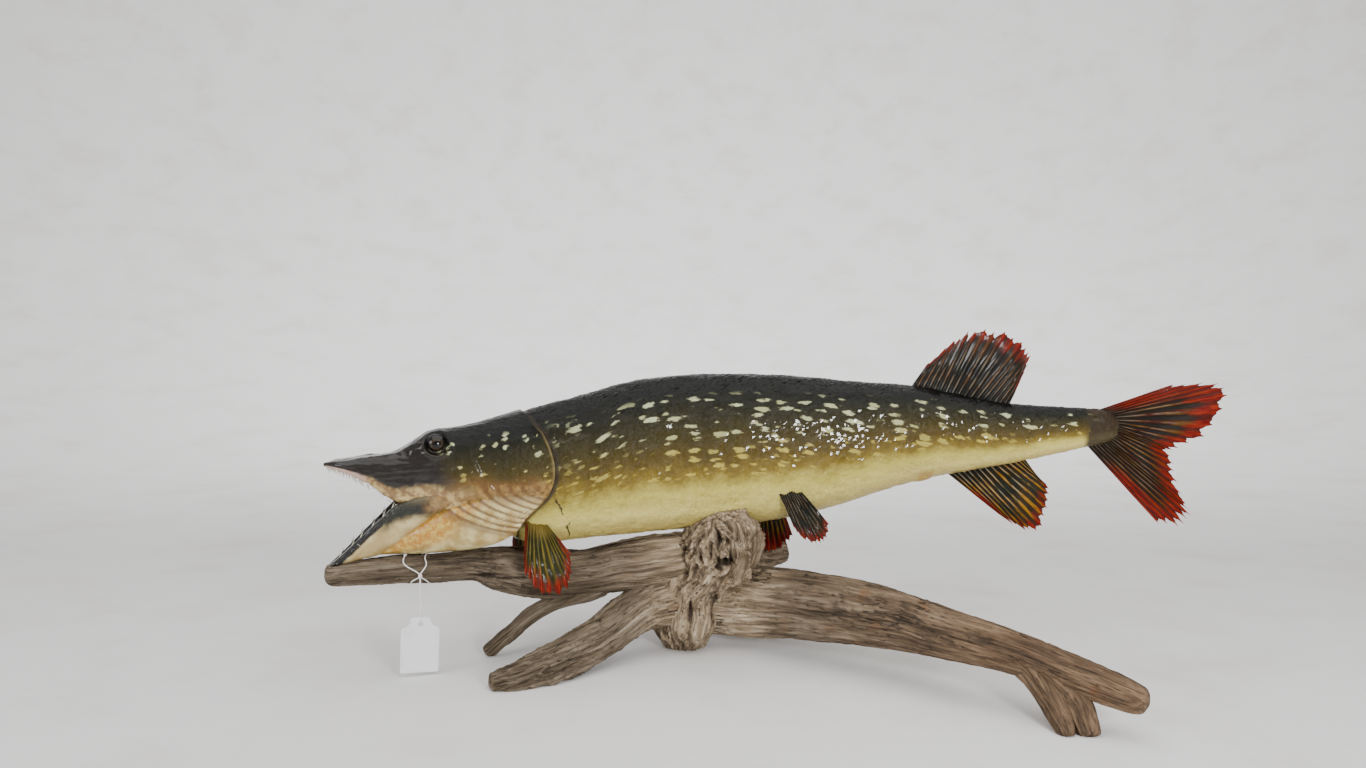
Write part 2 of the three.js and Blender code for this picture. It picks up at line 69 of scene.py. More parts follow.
# DIP is how far the view falls per metre, and SEEN_WIDTH how wide it is at a metre's distance.
DIP, SEEN_WIDTH, SENSOR = 0.036, 1.366, 36
camera_data = bpy.data.cameras.new("camera")
camera = placed("camera", camera_data)
bpy.context.scene.camera = camera
camera.location = (-0.0036, -0.9, 0.27)
camera.rotation_euler = (math.pi / 2 - math.atan(DIP), 0, 0)
camera_data.sensor_width = SENSOR
camera_data.lens = SENSOR / SEEN_WIDTH
camera_data.clip_start = 0.01
print(f"lens {camera_data.lens:.1f} mm")


# %% Lamps
def soft_lamp(name, place, aim, size, watts):
    """A flat lamp at place that faces aim: its -Z axis is turned along aim minus place."""
    lamp = bpy.data.lights.new(name, "AREA")
    lamp.shape = "RECTANGLE"
    lamp.size, lamp.size_y = size
    lamp.energy = watts
    holder = placed(name, lamp)
    holder.location = place
    holder.rotation_euler = (Vector(aim) - Vector(place)).to_track_quat("-Z", "Y").to_euler()
    print(f"{name}: {watts} W")


soft_lamp("lamp_above", (0.1, -0.35, 1.6), (0.05, 0, 0.1), (2.4, 2.2), 26)
soft_lamp("lamp_left", (-1.3, -1.0, 0.7), (0, 0, 0.15), (0.7, 0.7), 9)
soft_lamp("lamp_front", (0.37, -1.0, 0.34), (0.12, 0, 0.17), (0.2, 0.1), 8)
soft_lamp("lamp_back", (0, 1.2, 1.9), (0, 3.6, 0.9), (2.5, 1.5), 85)

# %% [markdown]
# ## A small language for materials
#
# A material could be drawn by hand in the node editor, but a long one is easier to read as arithmetic.
# `Value` wraps the output socket of a node and turns Python's operators into Math nodes. `Finish` makes any
# other node from its type, settings and inputs.


# %% Values and finishes
class Value:
    """A number, colour or vector in a material, with Python's arithmetic for numbers."""

    def __init__(self, finish, socket):
        self.finish, self.socket = finish, socket

    def math(self, operation, *others):
        return self.finish.math(operation, self, *others)

    def __add__(self, other):
        return self.math("ADD", other)

    def __sub__(self, other):
        return self.math("SUBTRACT", other)

    def __mul__(self, other):
        return self.math("MULTIPLY", other)

    def __truediv__(self, other):
        return self.math("DIVIDE", other)

    def __pow__(self, other):
        return self.math("POWER", other)

    def __rsub__(self, other):
        return self.finish.math("SUBTRACT", other, self)

    def __rtruediv__(self, other):
        return self.finish.math("DIVIDE", other, self)

    __radd__ = __add__
    __rmul__ = __mul__


class Finish:
    """One material, made node by node."""

    def __init__(self, name):
        self.material = bpy.data.materials.new(name)
        self.material.use_nodes = True
        self.tree = self.material.node_tree
        self.shader = self.tree.nodes["Principled BSDF"]

    def node(self, kind, out=0, settings=(), stops=(), **inputs):
        """Makes a node, sets it up, feeds its inputs and returns its output as a Value."""
        made = self.tree.nodes.new(kind)
        for name, value in dict(settings).items():
            setattr(made, name, value)
        if stops:
            ramp = made.color_ramp
            while len(ramp.elements) < len(stops):
                ramp.elements.new(0.5)
            for element, (place, colour) in zip(ramp.elements, stops):
                element.position = place
                element.color = (*colour, 1)
        for name, value in inputs.items():
            key = int(name[1:]) if name[0] == "_" else name.replace("_", " ")
            self.feed(made.inputs[key], value)
        return Value(self, made.outputs[out])

    def feed(self, socket, value):
        """Links a Value, or sets a fixed one; a colour of three numbers gets its alpha of 1."""
        if isinstance(value, Value):
            self.tree.links.new(value.socket, socket)
        elif isinstance(value, tuple) and len(socket.default_value) == 4 and len(value) == 3:
            socket.default_value = (*value, 1)
        else:
            socket.default_value = value

    def math(self, operation, *values):
        """A Math node on one to three values."""
        fed = {f"_{i}": value for i, value in enumerate(values)}
        return self.node("ShaderNodeMath", settings={"operation": operation}, **fed)

    def attribute(self, name):
        """The three numbers that a piece keeps at each vertex under this name."""
        return self.node("ShaderNodeAttribute", "Vector", {"attribute_name": name})

    def object_place(self):
        """The place on the piece, in metres."""
        return self.node("ShaderNodeTexCoord", "Object")

    def parts(self, vector):
        """The three numbers in a vector."""
        split = self.node("ShaderNodeSeparateXYZ", Vector=vector).socket.node
        return [Value(self, socket) for socket in split.outputs]

    def vector(self, x, y, z=0.0):
        """A vector from three numbers."""
        return self.node("ShaderNodeCombineXYZ", X=x, Y=y, Z=z)

    def noise(self, where, scale, detail=3.0, rough=0.55):
        """Cloudy noise round 0.5; scale is cycles per metre."""
        return self.node("ShaderNodeTexNoise", "Fac", Vector=where, Scale=scale, Detail=detail, Roughness=rough)

    def step(self, value, low, high):
        """0 below low, 1 above high and smooth between; low may be the larger."""
        if not isinstance(low, Value) and low > high:
            return 1 - self.step(value, high, low)
        settings = {"interpolation_type": "SMOOTHSTEP"}
        return self.node("ShaderNodeMapRange", 0, settings, _0=value, _1=low, _2=high)

    def mix(self, share, first, second, how="MIX"):
        """First at share 0 and second at share 1, or first worked on by second."""
        settings = {"data_type": "RGBA", "blend_type": how, "clamp_factor": True}
        return self.node("ShaderNodeMix", 2, settings, _0=share, _6=first, _7=second)

    def ramp(self, value, *stops):
        """Colours between stops; a stop is a place and a colour."""
        return self.node("ShaderNodeValToRGB", "Color", stops=stops, Fac=value)

    def done(self, colour, rough, bump=None, depth=0.001, **fixed):
        """Feeds the shader: colour, roughness, a bump whose height 1 is depth in metres, and more inputs."""
        self.feed(self.shader.inputs["Base Color"], colour)
        self.feed(self.shader.inputs["Roughness"], rough)
        if bump is not None:
            normal = self.node("ShaderNodeBump", "Normal", Height=bump, Distance=depth, Strength=1.0)
            self.feed(self.shader.inputs["Normal"], normal)
        for name, value in fixed.items():
            self.feed(self.shader.inputs[name.replace("_", " ")], value)
        return self.material


# %% [markdown]
# ## Curves, surfaces and the backbone
#
# A long soft form such as a fish could be sculpted, but tables of measurements are easier to correct. A table
# of rows `[x, a, b, ...]` gives smooth curves through its rows. The fish is described straight, along x, and
# then laid on a backbone that bends sideways.


# %% Curves
def along(rows, x):
    """Cubic curves through rows, with each row's slope taken from its two neighbours."""
    rows = np.asarray(rows, float)
    knots, values = rows[:, 0], rows[:, 1:]
    slopes = np.gradient(values, axis=0)
    slopes[1:-1] = (values[2:] - values[:-2]) / (knots[2:] - knots[:-2])[:, None]
    slopes[0] = (values[1] - values[0]) / (knots[1] - knots[0])
    slopes[-1] = (values[-1] - values[-2]) / (knots[-1] - knots[-2])
    x = np.clip(np.asarray(x, float), knots[0], knots[-1])
    i = np.clip(np.searchsorted(knots, x, side="right") - 1, 0, len(knots) - 2)
    span = (knots[i + 1] - knots[i])[..., None]
    t = ((x - knots[i])[..., None]) / span
    rise = values[i + 1] - values[i]
    first, last = slopes[i] * span, slopes[i + 1] * span
    cubic = first * t + (3 * rise - 2 * first - last) * t**2 + (first + last - 2 * rise) * t**3
    return np.moveaxis(values[i] + cubic, -1, 0)


def smooth(value, low, high):
    """0 at low, 1 at high, with level ends; low may be the larger."""
    t = np.clip((value - low) / (high - low), 0, 1)
    return t * t * (3 - 2 * t)


def hump(value, centre, width):
    """A bell of height 1 at centre."""
    return np.exp(-(((value - centre) / width) ** 2))


def ripple(seed, *axes):
    """Smooth noise from -1 to 1: nine sine waves in random directions, one cycle per unit or so."""
    waves = np.random.default_rng(seed)
    total = 0
    for strength in (1, 1, 1, 0.6, 0.6, 0.6, 0.4, 0.4, 0.4):
        pace = waves.normal(size=len(axes)) * 4.2 / strength**0.8
        turn = sum(p * a for p, a in zip(pace, axes)) + waves.uniform(0, 2 * math.pi)
        total = total + strength * np.sin(turn)
    return total / 3.2


# Rows of place along the fish and how far the backbone stands to the side.
SPINE = [[-300, -84], [-215, -60], [-120, -33], [-20, -9], [60, 0], [150, 3], [250, 2], [372, -6], [490, -20]]


def on_spine(x, side, z):
    """A straight-fish point moved sideways, square to the backbone."""
    y = along(SPINE, x)[0]
    slope = (along(SPINE, x + 1)[0] - along(SPINE, x - 1)[0]) / 2
    length = np.hypot(1, slope)
    return np.stack([x - side * slope / length, y + side / length, z + 0 * x], axis=-1) * MM


# %% Meshes from grids
def surface(name, points, faces, smooth=True):
    """A mesh object from a grid of points and a list of faces."""
    mesh = bpy.data.meshes.new(name)
    mesh.from_pydata(points.reshape(-1, 3).tolist(), [], list(faces))
    mesh.validate()
    mesh.polygons.foreach_set("use_smooth", [smooth] * len(mesh.polygons))
    print(f"{name}: {len(mesh.polygons)} faces")
    return placed(name, mesh)


def riding(obj, nodes=()):
    """Lets the object ride on the one body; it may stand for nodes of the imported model."""
    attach(obj, "root")
    if nodes:
        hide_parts(*nodes)
    return obj


def piece(name, points, faces, nodes=()):
    """A smooth surface that rides on the body."""
    return riding(surface(name, points, faces.tolist()), nodes)


def keep(obj, name, values):
    """Stores three numbers for each vertex, for the material to read."""
    store = obj.data.attributes.new(name, "FLOAT_VECTOR", "POINT")
    store.data.foreach_set("vector", np.ascontiguousarray(values, np.float32).ravel())


def around(count):
    """Even angles round a full turn, in radians, without the last one that equals the first."""
    return np.linspace(0, 2 * math.pi, count, endpoint=False)


def tube_faces(rows, columns, start=0):
    """Quads of a tube: each joins a point, the next row's two points and the next column's point."""
    i, j = np.meshgrid(np.arange(rows - 1), np.arange(columns), indexing="ij")
    k = (j + 1) % columns
    quads = np.stack([i * columns + j, (i + 1) * columns + j, (i + 1) * columns + k, i * columns + k], -1)
    return quads.reshape(-1, 4) + start


def closed(obj, lids=False, merge=True):
    """Turns every face outwards, after lids fill open ends and doubled points of seams and poles merge."""
    form = bmesh.new()
    form.from_mesh(obj.data)
    if lids:
        bmesh.ops.holes_fill(form, edges=[e for e in form.edges if e.is_boundary])
    if merge:
        bmesh.ops.remove_doubles(form, verts=form.verts, dist=1e-6)
    bmesh.ops.recalc_face_normals(form, faces=form.faces)
    form.to_mesh(obj.data)
    form.free()
    return obj


# %% [markdown]
# ## The tag's string
#
# A thin white string is hitched round the branch with two loops and hangs straight down to the card. Two
# separate strands could be wound round each other. At this size one tube is enough, with a section like a
# figure of eight that turns as it goes down.

# %% String
KNOT = (-219.5, -84.8, 82.7)
HOLE_Z = 43.3
STRING_STEPS, STRING_SIDES, STRING_TURN = 161, 12, 22
BRANCH = [
    [-298, -85, 82, 7.5], [-286, -83, 83.5, 9.3], [-240, -73, 85.5, 11], [-209, -66, 85.5, 11.3],
    [-180, -55, 86, 12.6], [-161, -48, 82, 17.5], [-127, -40, 76.5, 21], [-89, -30, 75, 19],
    [-42, -20, 80, 21], [3, -10, 84, 21],
]  # fmt: skip


def frames(path):
    """Two directions across a path, carried along it without twisting."""
    run = np.gradient(path, axis=0)
    run /= np.linalg.norm(run, axis=1)[:, None]
    start = np.eye(3)[np.argmin(np.abs(run[0]))]
    across = [np.cross(run[0], np.cross(run[0], start))]
    for ahead in run[1:]:
        turned = across[-1] - across[-1].dot(ahead) * ahead
        across.append(turned / np.linalg.norm(turned))
    across[0] = across[0] / np.linalg.norm(across[0])
    across = np.array(across)
    return across, np.cross(run, across)


def tube(path, radius):
    """Rings of points round a path; radius is a grid of path points by ring points."""
    level, rise = frames(path)
    a = around(radius.shape[1])[None, :, None]
    return path[:, None] + radius[..., None] * (np.cos(a) * level[:, None] + np.sin(a) * rise[:, None])


def capped(rings, path):
    """The rings with a point added at each end, so that the tube closes."""
    ends = [np.repeat(path[k][None, None], rings.shape[1], 1) for k in (0, -1)]
    return np.concatenate([ends[0], rings, ends[1]])


string_path = np.linspace(KNOT, (*KNOT[:2], HOLE_Z), 40)
turn = np.linspace(0, STRING_TURN, STRING_STEPS)[:, None] + around(STRING_SIDES)
fine_path = np.linspace(string_path[0], string_path[-1], STRING_STEPS)
string_rings = capped(tube(fine_path, 0.56 + 0.22 * np.abs(np.cos(turn))), fine_path)
string = piece("string", string_rings * MM, tube_faces(*string_rings.shape[:2]), ["tag_string"])
closed(string)

# %% Loops
LOOP_GAP, LOOP_TOP, LOOP_RADIUS = 1.1, 97.6, 0.55


def hitch(top, low, bulge):
    """A closed loop that follows the branch's skin and reaches out to the knot at the front.

    top and low are how far along the branch it passes over and under it.
    """
    a = np.linspace(-math.pi, math.pi, 120, endpoint=False)
    front = hump(a, -0.2, 0.42)
    above = smooth(np.sin(a), -0.2, 0.9)
    x = KNOT[0] + (1 - front) * (low + (top - low) * above) + bulge * hump(a, 0.55, 0.35)
    centre_y, centre_z, r = along(BRANCH, x)
    y = centre_y - (r + LOOP_GAP + 4.4 * front) * np.cos(a)
    z = np.minimum(centre_z + (r + LOOP_GAP) * np.sin(a), LOOP_TOP)
    return np.stack([x, y, z + 0.2 * front], -1)


def ring_tube(path, radius, sides=10):
    """A closed tube round a closed path: the path's ends are padded, so that its rings meet evenly."""
    padded = np.concatenate([path[-1:], path, path[:1]])
    rings = tube(padded, np.full((len(padded), sides), radius))[1:-1]
    return np.concatenate([rings, rings[:1]])


loop_points, loop_faces, start = [], [], 0
for top, low, bulge in ((-15.2, -9.8, -0.5), (1.2, 4.2, 1.6)):
    ring = ring_tube(hitch(top, low, bulge), LOOP_RADIUS)
    loop_points.append(ring.reshape(-1, 3))
    loop_faces.append(tube_faces(*ring.shape[:2], start))
    start += len(loop_points[-1])


def ball(centre, radii, rows=14, columns=16):
    """A globe of rows by columns: sines and cosines of two angles, times three radii."""
    up = np.linspace(0, math.pi, rows)[:, None]
    a = around(columns)[None]
    unit = np.stack([np.sin(up) * np.cos(a), np.sin(up) * np.sin(a), np.cos(up) + 0 * a], -1)
    return np.asarray(centre) + unit * np.asarray(radii)


for centre, radii in ((KNOT, (1.7, 1.5, 1.9)), ((-234.4, -75.5, 98.2), (1.2, 1.2, 1.2))):
    globe = ball(centre, radii)
    loop_points.append(globe.reshape(-1, 3))
    loop_faces.append(tube_faces(*globe.shape[:2], start))
    start += len(loop_points[-1])
loops = piece(
    "string_loops", np.concatenate(loop_points) * MM, np.concatenate(loop_faces), ["tag_loop"]
)
closed(loops)

# %% [markdown]
# ## The blank card
#
# A merchandise tag has a narrow neck with the hole and wider shoulders below it. A box with a hole cut by a
# Boolean would need a modifier. A flat curve with two splines fills the outline and leaves the hole open by
# itself. It is turned into a mesh before it is put in its place, where it bows and swings a little.


# %% Card
CARD_HALF, CARD_HEIGHT = 15.3, 45.6
CARD_HOLE, CARD_HOLE_RADIUS = 5.4, 2.1
CARD_SWING, CARD_LEAN, CARD_BOW = 0.32, 0.04, 0.5


def card_outline():
    """Two mirrored lists of points, from the neck over the shoulders to the foot, and a round hole."""
    half, height = CARD_HALF, CARD_HEIGHT
    outline = [(6.1, 0.0), (7.4, -0.7), (8.1, -2.2), (8.5, -5.0), (10.2, -7.2), (13.6, -8.4), (15.1, -10.2)]
    outline += [(half, -14), (half, -height + 1.6), (half - 0.5, -height + 0.5), (half - 1.6, -height)]
    outline = outline + [(-x, y) for x, y in outline[::-1]]
    r = CARD_HOLE_RADIUS
    hole = [(r * math.cos(a), -CARD_HOLE + r * math.sin(a)) for a in np.linspace(0, 2 * math.pi, 24)[:-1]]
    return outline, hole


def card():
    """The outline and the hole as a filled flat curve, 0.6 mm thick with rounded edges, then placed."""
    curve = bpy.data.curves.new("card", "CURVE")
    curve.dimensions, curve.fill_mode = "2D", "BOTH"
    curve.extrude, curve.bevel_depth, curve.bevel_resolution = 0.22, 0.08, 1
    for points in card_outline():
        spline = curve.splines.new("POLY")
        spline.points.add(len(points) - 1)
        spline.points.foreach_set("co", np.array([(x, y, 0, 1) for x, y in points]).ravel())
        spline.use_cyclic_u = True
    holder = placed("card_curve", curve)
    mesh = bpy.data.meshes.new_from_object(holder.evaluated_get(bpy.context.evaluated_depsgraph_get()))
    bpy.data.objects.remove(holder)
    places = np.empty(len(mesh.vertices) * 3)
    mesh.vertices.foreach_get("co", places)
    u, v, w = places.reshape(-1, 3).T
    bow = w + CARD_BOW * hump(u, 0, 13) * smooth(v, 0, -30)
    below = v + CARD_HOLE
    u, z = u + below * CARD_LEAN, HOLE_Z + below - u * CARD_LEAN
    x = KNOT[0] + u * math.cos(CARD_SWING) + bow * math.sin(CARD_SWING)
    y = KNOT[1] + u * math.sin(CARD_SWING) - bow * math.cos(CARD_SWING)
    mesh.vertices.foreach_set("co", (np.stack([x, y, z], -1) * MM).ravel())
    mesh.name = "card"
    return closed(riding(placed("card", mesh), ["tag_card"]))


tag = card()

# %% [markdown]
# ## Two finishes for the tag
#
# Cotton string is matt with fine fibres, and a fine noise in colour and bump stands for them. Card is
# nearly white, a little uneven, and greyer in a few places where it has been handled.

# %% String and card finishes
cotton = Finish("cotton_string")
here = cotton.object_place()
fibre = cotton.noise(here, 2600, 2)
cotton.done(
    cotton.mix(fibre, (0.62, 0.6, 0.55), (0.86, 0.85, 0.82)), 0.75 + 0.15 * fibre, fibre, 0.0001,
    Specular_IOR_Level=0.25,
)  # fmt: skip
for obj in (string, loops):
    obj.data.materials.append(cotton.material)

paper = Finish("white_card")
here = paper.object_place()
pulp = paper.noise(here, 900, 4, 0.7)
smudge = paper.noise(here, 55, 2)
paper.done(
    paper.mix(
        0.6 * paper.step(smudge, 0.45, 0.75), paper.mix(pulp, (0.76, 0.77, 0.79), (0.84, 0.85, 0.87)),
        (0.68, 0.69, 0.7),
    ),
    0.5 + 0.2 * pulp, pulp, 0.00004, Specular_IOR_Level=0.4,
)  # fmt: skip
tag.data.materials.clear()
tag.data.materials.append(paper.material)

# %% [markdown]
# ## The fish's skin
#
# A taxidermist paints the mounted skin as one surface, so it is one grid here from the nose to the tail. Each
# section across the body is a superellipse whose top, bottom and half width come from a table. The rows of
# the grid follow the free edge of the gill cover, so that its thin rim can stand up from the shoulder behind
# it without a cut. Smaller forms are pushed out or in along the section's own outward direction.

# %% Body tables
# Rows of a form's table are place along, top, bottom and half width. The palate's are place, roof and half
# width, and the gill edge's are height and place along.
BODY = [
    [-298, 176, 173, 3], [-287, 178.5, 170, 13], [-265, 181, 158, 18.5], [-244, 184, 141, 20.5],
    [-218, 199.5, 131, 25], [-186, 205, 121, 31], [-137, 219, 101, 39], [-97, 228, 103, 41.5],
    [-35, 243, 107, 45], [30, 247, 111, 46.5], [95, 245, 118, 44.5], [150, 240, 133, 39.5],
    [204, 236, 150, 32], [247, 228, 158, 25], [290, 220, 166, 18.5], [340, 217, 177, 12.5],
    [362, 216, 182, 8.6], [374, 215, 184.5, 6.4], [381, 212, 188, 4.3], [386, 206, 193, 1.4],
]  # fmt: skip
GILL_EDGE = [
    [94, -232], [102, -187], [108, -166], [117, -151], [128, -143], [148, -125], [170, -120],
    [197, -128], [209, -138], [240, -158],
]  # fmt: skip
PALATE = [[-298, 172, 2], [-290, 171, 7], [-270, 168, 13], [-244, 151, 15], [-228, 140, 16], [-214, 128, 14]]
EYE = (-212, 14.2, 190.5)
NOSE, TAIL_TIP = -298, 386
EDGE_ROW, EDGE_HALF = -150, 0.9
COVER_Z = (118, 240)
FAN_CENTRE, FAN_FLAT, FAN_PITCH, FAN_DEPTH = (-108, 158), 0.42, 4.1, 1.9


def bend(value, power):
    """A power that keeps the sign."""
    return np.sign(value) * np.abs(value) ** power


def section(rows, x, a, square):
    """A superellipse across the body: sine and cosine of a, each to the power 2 / square.

    Gives how far sideways and how high a point lies, and the table's three values; a is 0 at the back.
    """
    top, bottom, half = along(rows, x)
    side = half * bend(np.sin(a), 2 / square)
    z = (top + bottom) / 2 + (top - bottom) / 2 * bend(np.cos(a), 2 / square)
    return side, z, top, bottom, half


def body_square(x):
    """The superellipse's power: squarer at the head, rounder from the shoulder on."""
    return 2.8 - 0.55 * np.clip((x + 250) / 160, 0, 1)


def gill_x(z):
    """Where the gill cover's free edge lies at this height."""
    return along(GILL_EDGE, z)[0]


def fan_folds(x, z):
    """Pleats in nested flat arcs round a centre above the hinge: slow rises with steeper falls."""
    gap = gill_x(z) - x
    away = np.hypot((x - FAN_CENTRE[0]) * FAN_FLAT, z - FAN_CENTRE[1])
    phase = (away / FAN_PITCH + 0.12 * ripple(5, x / 50, z / 30)) % 1
    ridge = phase**1.2 * smooth(phase, 1, 0.58)
    faded = smooth(gap, 0.5, 3) * smooth(away, 50, 43) * smooth(away, 4, 9) * smooth(z, 160, 153)
    return FAN_DEPTH * ridge * faded


# %% Relief of the head
def cover_relief(x, z, even, flank, behind):
    """The shoulder's step down, the cover's bead, its lower part drawn in, and a line across the cheek."""
    proud = -1.9 * behind * smooth(x, -70, EDGE_ROW) * smooth(z, 240, 222) - 0.4 * behind
    proud = proud + 0.8 * (1 - behind) * hump(even, EDGE_ROW, 4.5) * flank
    proud = proud - 2.8 * smooth(z, 149, 139) * smooth(x, -200, -188) * (1 - behind)
    cheek_line = -180 + 10 * hump(z, 150, 16) - 0.16 * (z - 165)
    cheek = flank * smooth(z, 130, 140) * smooth(z, 199, 190)
    return proud - 0.9 * hump(x, cheek_line, 1.9) * cheek + 0.7 * hump(x, cheek_line - 4, 3) * cheek


def snout_relief(x, side, z, flank):
    """A socket and a ring round the eye, a ridge before it, the lip's blade with its crease, a nostril."""
    near_eye = np.hypot(x - EYE[0], (z - EYE[2]) * 1.12)
    beside = smooth(np.abs(side), 6, 10) * smooth(z, 168, 178)
    proud = (1.1 * hump(near_eye, 11.4, 1.8) - 3.4 * smooth(near_eye, 10.5, 6.5)) * beside
    ridge = hump(z, 186 + 0.2 * (x + 240), 3.5) * smooth(x, -282, -262) * smooth(x, -205, -222)
    lip = 166 - (x + 285) * 0.44
    blade = hump(z, lip, 4.2) * smooth(x, -288, -276) * smooth(x, -206, -213)
    crease = hump(z, lip + 6, 1.3) * smooth(x, -280, -270) * smooth(x, -209, -215)
    nostril = hump(np.hypot(x + 236, z - 184), 0, 2.2)
    return proud + (1.2 * ridge + 1.1 * blade - 0.9 * crease - 1.6 * nostril) * flank


def body_relief(x, side, z, bottom):
    """The vent's low bump, the dried skin's unevenness, and short tears behind the pectoral fin."""
    head = smooth(x, -120, -170)
    proud = 2.2 * hump(x, 212, 7) * smooth(z - bottom, 6, 1)
    proud = proud + head * 0.35 * ripple(11, x / 16, z / 5, side / 12)
    proud = proud + (1 - head) * 0.5 * ripple(12, x / 45, z / 11, side / 20)
    tears = np.abs(ripple(17, x / 20, z / 16, side / 20))
    return proud - smooth(tears, 0.09, 0.02) * hump(x, -92, 26) * smooth(z, 158, 146)


# %% Skin surface
def skin_rows(rows, columns):
    """Each row's even x, each point's angle and its x.

    A row starts at an even x and is moved by the cover edge's distance from the edge row at the same
    height. The move fades to nothing at the nose and behind the shoulder. Many rows crowd at the edge.
    """
    share = np.linspace(0, 1, rows)[:, None]
    even = np.interp(share, [0, 0.16, 0.45, 0.53, 0.62, 1], [NOSE, -265, -160, -150.8, -130, TAIL_TIP])
    near = even - EDGE_ROW
    even = np.where(np.abs(near) < EDGE_HALF, EDGE_ROW + bend(near / EDGE_HALF, 3), even)
    a = around(columns)[None] + 0 * even
    x = even + 0 * a
    for _ in range(4):
        z = section(BODY, x, a, body_square(x))[1]
        shift = np.clip(gill_x(np.clip(z, *COVER_Z)) - EDGE_ROW, -9, 31)
        x = even + shift * np.clip((even - NOSE) / (EDGE_ROW - NOSE), 0, 1) * smooth(even, -50, EDGE_ROW)
    return even, a, x


def skin_grid(rows, columns):
    """Body points, with what the scales and the finish need to know of each.

    The relief moves a point along the superellipse's gradient. The palate is hollowed from below. Girth is
    the length round the section from the back, and past is the distance behind the cover's free edge.
    """
    even, a, x = skin_rows(rows, columns)
    side, z, top, bottom, half = section(BODY, x, a, body_square(x))
    mid = (top + bottom) / 2
    out = np.stack([side / half**2, (z - mid) / ((top - bottom) / 2) ** 2], -1)
    out /= np.maximum(np.linalg.norm(out, axis=-1, keepdims=True), 1e-9)
    behind = smooth(even, EDGE_ROW - 0.2, EDGE_ROW + 0.4)
    flank = smooth(np.abs(np.sin(a)), 0.12, 0.45)
    folds = (1 - behind) * fan_folds(x, z) * smooth(x, -200, -186)
    proud = cover_relief(x, z, even, flank, behind) + folds
    proud = proud + snout_relief(x, side, z, flank) + body_relief(x, side, z, bottom)
    side = side + proud * out[..., 0]
    z = z + proud * out[..., 1]
    roof, wide = along(PALATE, x)
    inside = (np.cos(a) < 0) * smooth(x, -211, -224)
    hollow = np.clip(1 - np.abs(side / wide) ** 2.4, 0, 1) ** 0.42 * inside
    z = z + hollow * np.maximum(roof - z, 0)
    height = (z - bottom) / (top - bottom)
    arc = np.hypot(np.diff(side, axis=1, append=side[:, :1]), np.diff(z, axis=1, append=z[:, :1]))
    girth = np.cumsum(arc, axis=1) - arc
    girth = np.minimum(girth, girth[:, -1:] + arc[:, -1:] - girth)
    past = x - gill_x(np.clip(z, *COVER_Z))
    lie = np.stack([x * MM, girth * MM, height], -1)
    inner = np.stack([hollow, past * MM, folds], -1)
    return on_spine(x, side, z), lie, inner, even[:, 0]


skin_points, lie_skin, inner_skin, even_skin = skin_grid(470, 208)
skin = piece(
    "skin", skin_points, tube_faces(*skin_points.shape[:2]),
    ["upper_jaw", "head", "gill_cover_left", "gill_cover_right", "breast", "belly", "loin", "tail_stalk"],
)  # fmt: skip
keep(skin, "lie", lie_skin)
keep(skin, "inner", inner_skin)
closed(skin)

# %% [markdown]
# ## Scales
#
# A pike's scales are small shingles, rooted towards the head and lifted a little at the tail end. Bump alone
# would vanish from the mesh, and thousands of separate objects would be slow. Each scale is a closed octagon
# with nine points above and eight below, and all of them are laid on the skin's own grid at once: a scale's
# corners are places on the grid, read by mixing its four nearest points. Flat shading gives each facet its
# own glint in the lacquer.


# %% Scale roots
COAT_X = (-146.5, 377)
SCALE_PITCH, SCALE_GAP = 2.8, 4.5


def read_grid(grid, f, g):
    """Mixes the grid's four points round row f and column g; columns wrap."""
    i = np.clip(np.floor(f).astype(int), 0, len(grid) - 2)
    j = np.floor(g).astype(int)
    p, q = (f - i)[..., None], (g - j)[..., None]
    j, k = j % grid.shape[1], (j + 1) % grid.shape[1]
    near, far = grid[i, j] * (1 - q) + grid[i, k] * q, grid[i + 1, j] * (1 - q) + grid[i + 1, k] * q
    return near * (1 - p) + far * p


def scale_places(points, even):
    """Rings of staggered roots: grid row, grid column, rows per mm and columns per mm of each scale."""
    row_at = lambda place: np.interp(place, even, np.arange(len(even)))
    found = []
    for k, place in enumerate(np.arange(*COAT_X, SCALE_PITCH)):
        f = row_at(place)
        ring = read_grid(points, np.full(points.shape[1], f), np.arange(points.shape[1], dtype=float))
        step = np.linalg.norm(np.roll(ring, -1, 0) - ring, axis=1)
        total = np.concatenate([[0], np.cumsum(step)])
        count = max(int(total[-1] / SCALE_GAP), 8)
        where = (np.arange(count) + 0.5 * (k % 2)) * total[-1] / count
        g = np.interp(where, total, np.arange(len(total)))
        per_row = (row_at(place + 2) - row_at(place - 2)) / 4
        per_round = 1 / step[np.floor(g).astype(int) % len(step)]
        found.append(np.stack([f + 0 * g, g, per_row + 0 * g, per_round], -1))
    return np.concatenate(found)


spot = skin_points / MM
grid_rows, grid_columns = spot.shape[:2]
run_down = np.gradient(spot, axis=0)
run_round = (np.roll(spot, -1, 1) - np.roll(spot, 1, 1)) / 2
outward = np.cross(run_down, run_round)
outward /= np.maximum(np.linalg.norm(outward, axis=-1, keepdims=True), 1e-9)
middle = spot.mean(1, keepdims=True)
outward *= np.sign(np.sum(outward * (spot - middle), axis=-1, keepdims=True).mean())
places = scale_places(spot, even_skin)
print(f"{len(places)} scales")

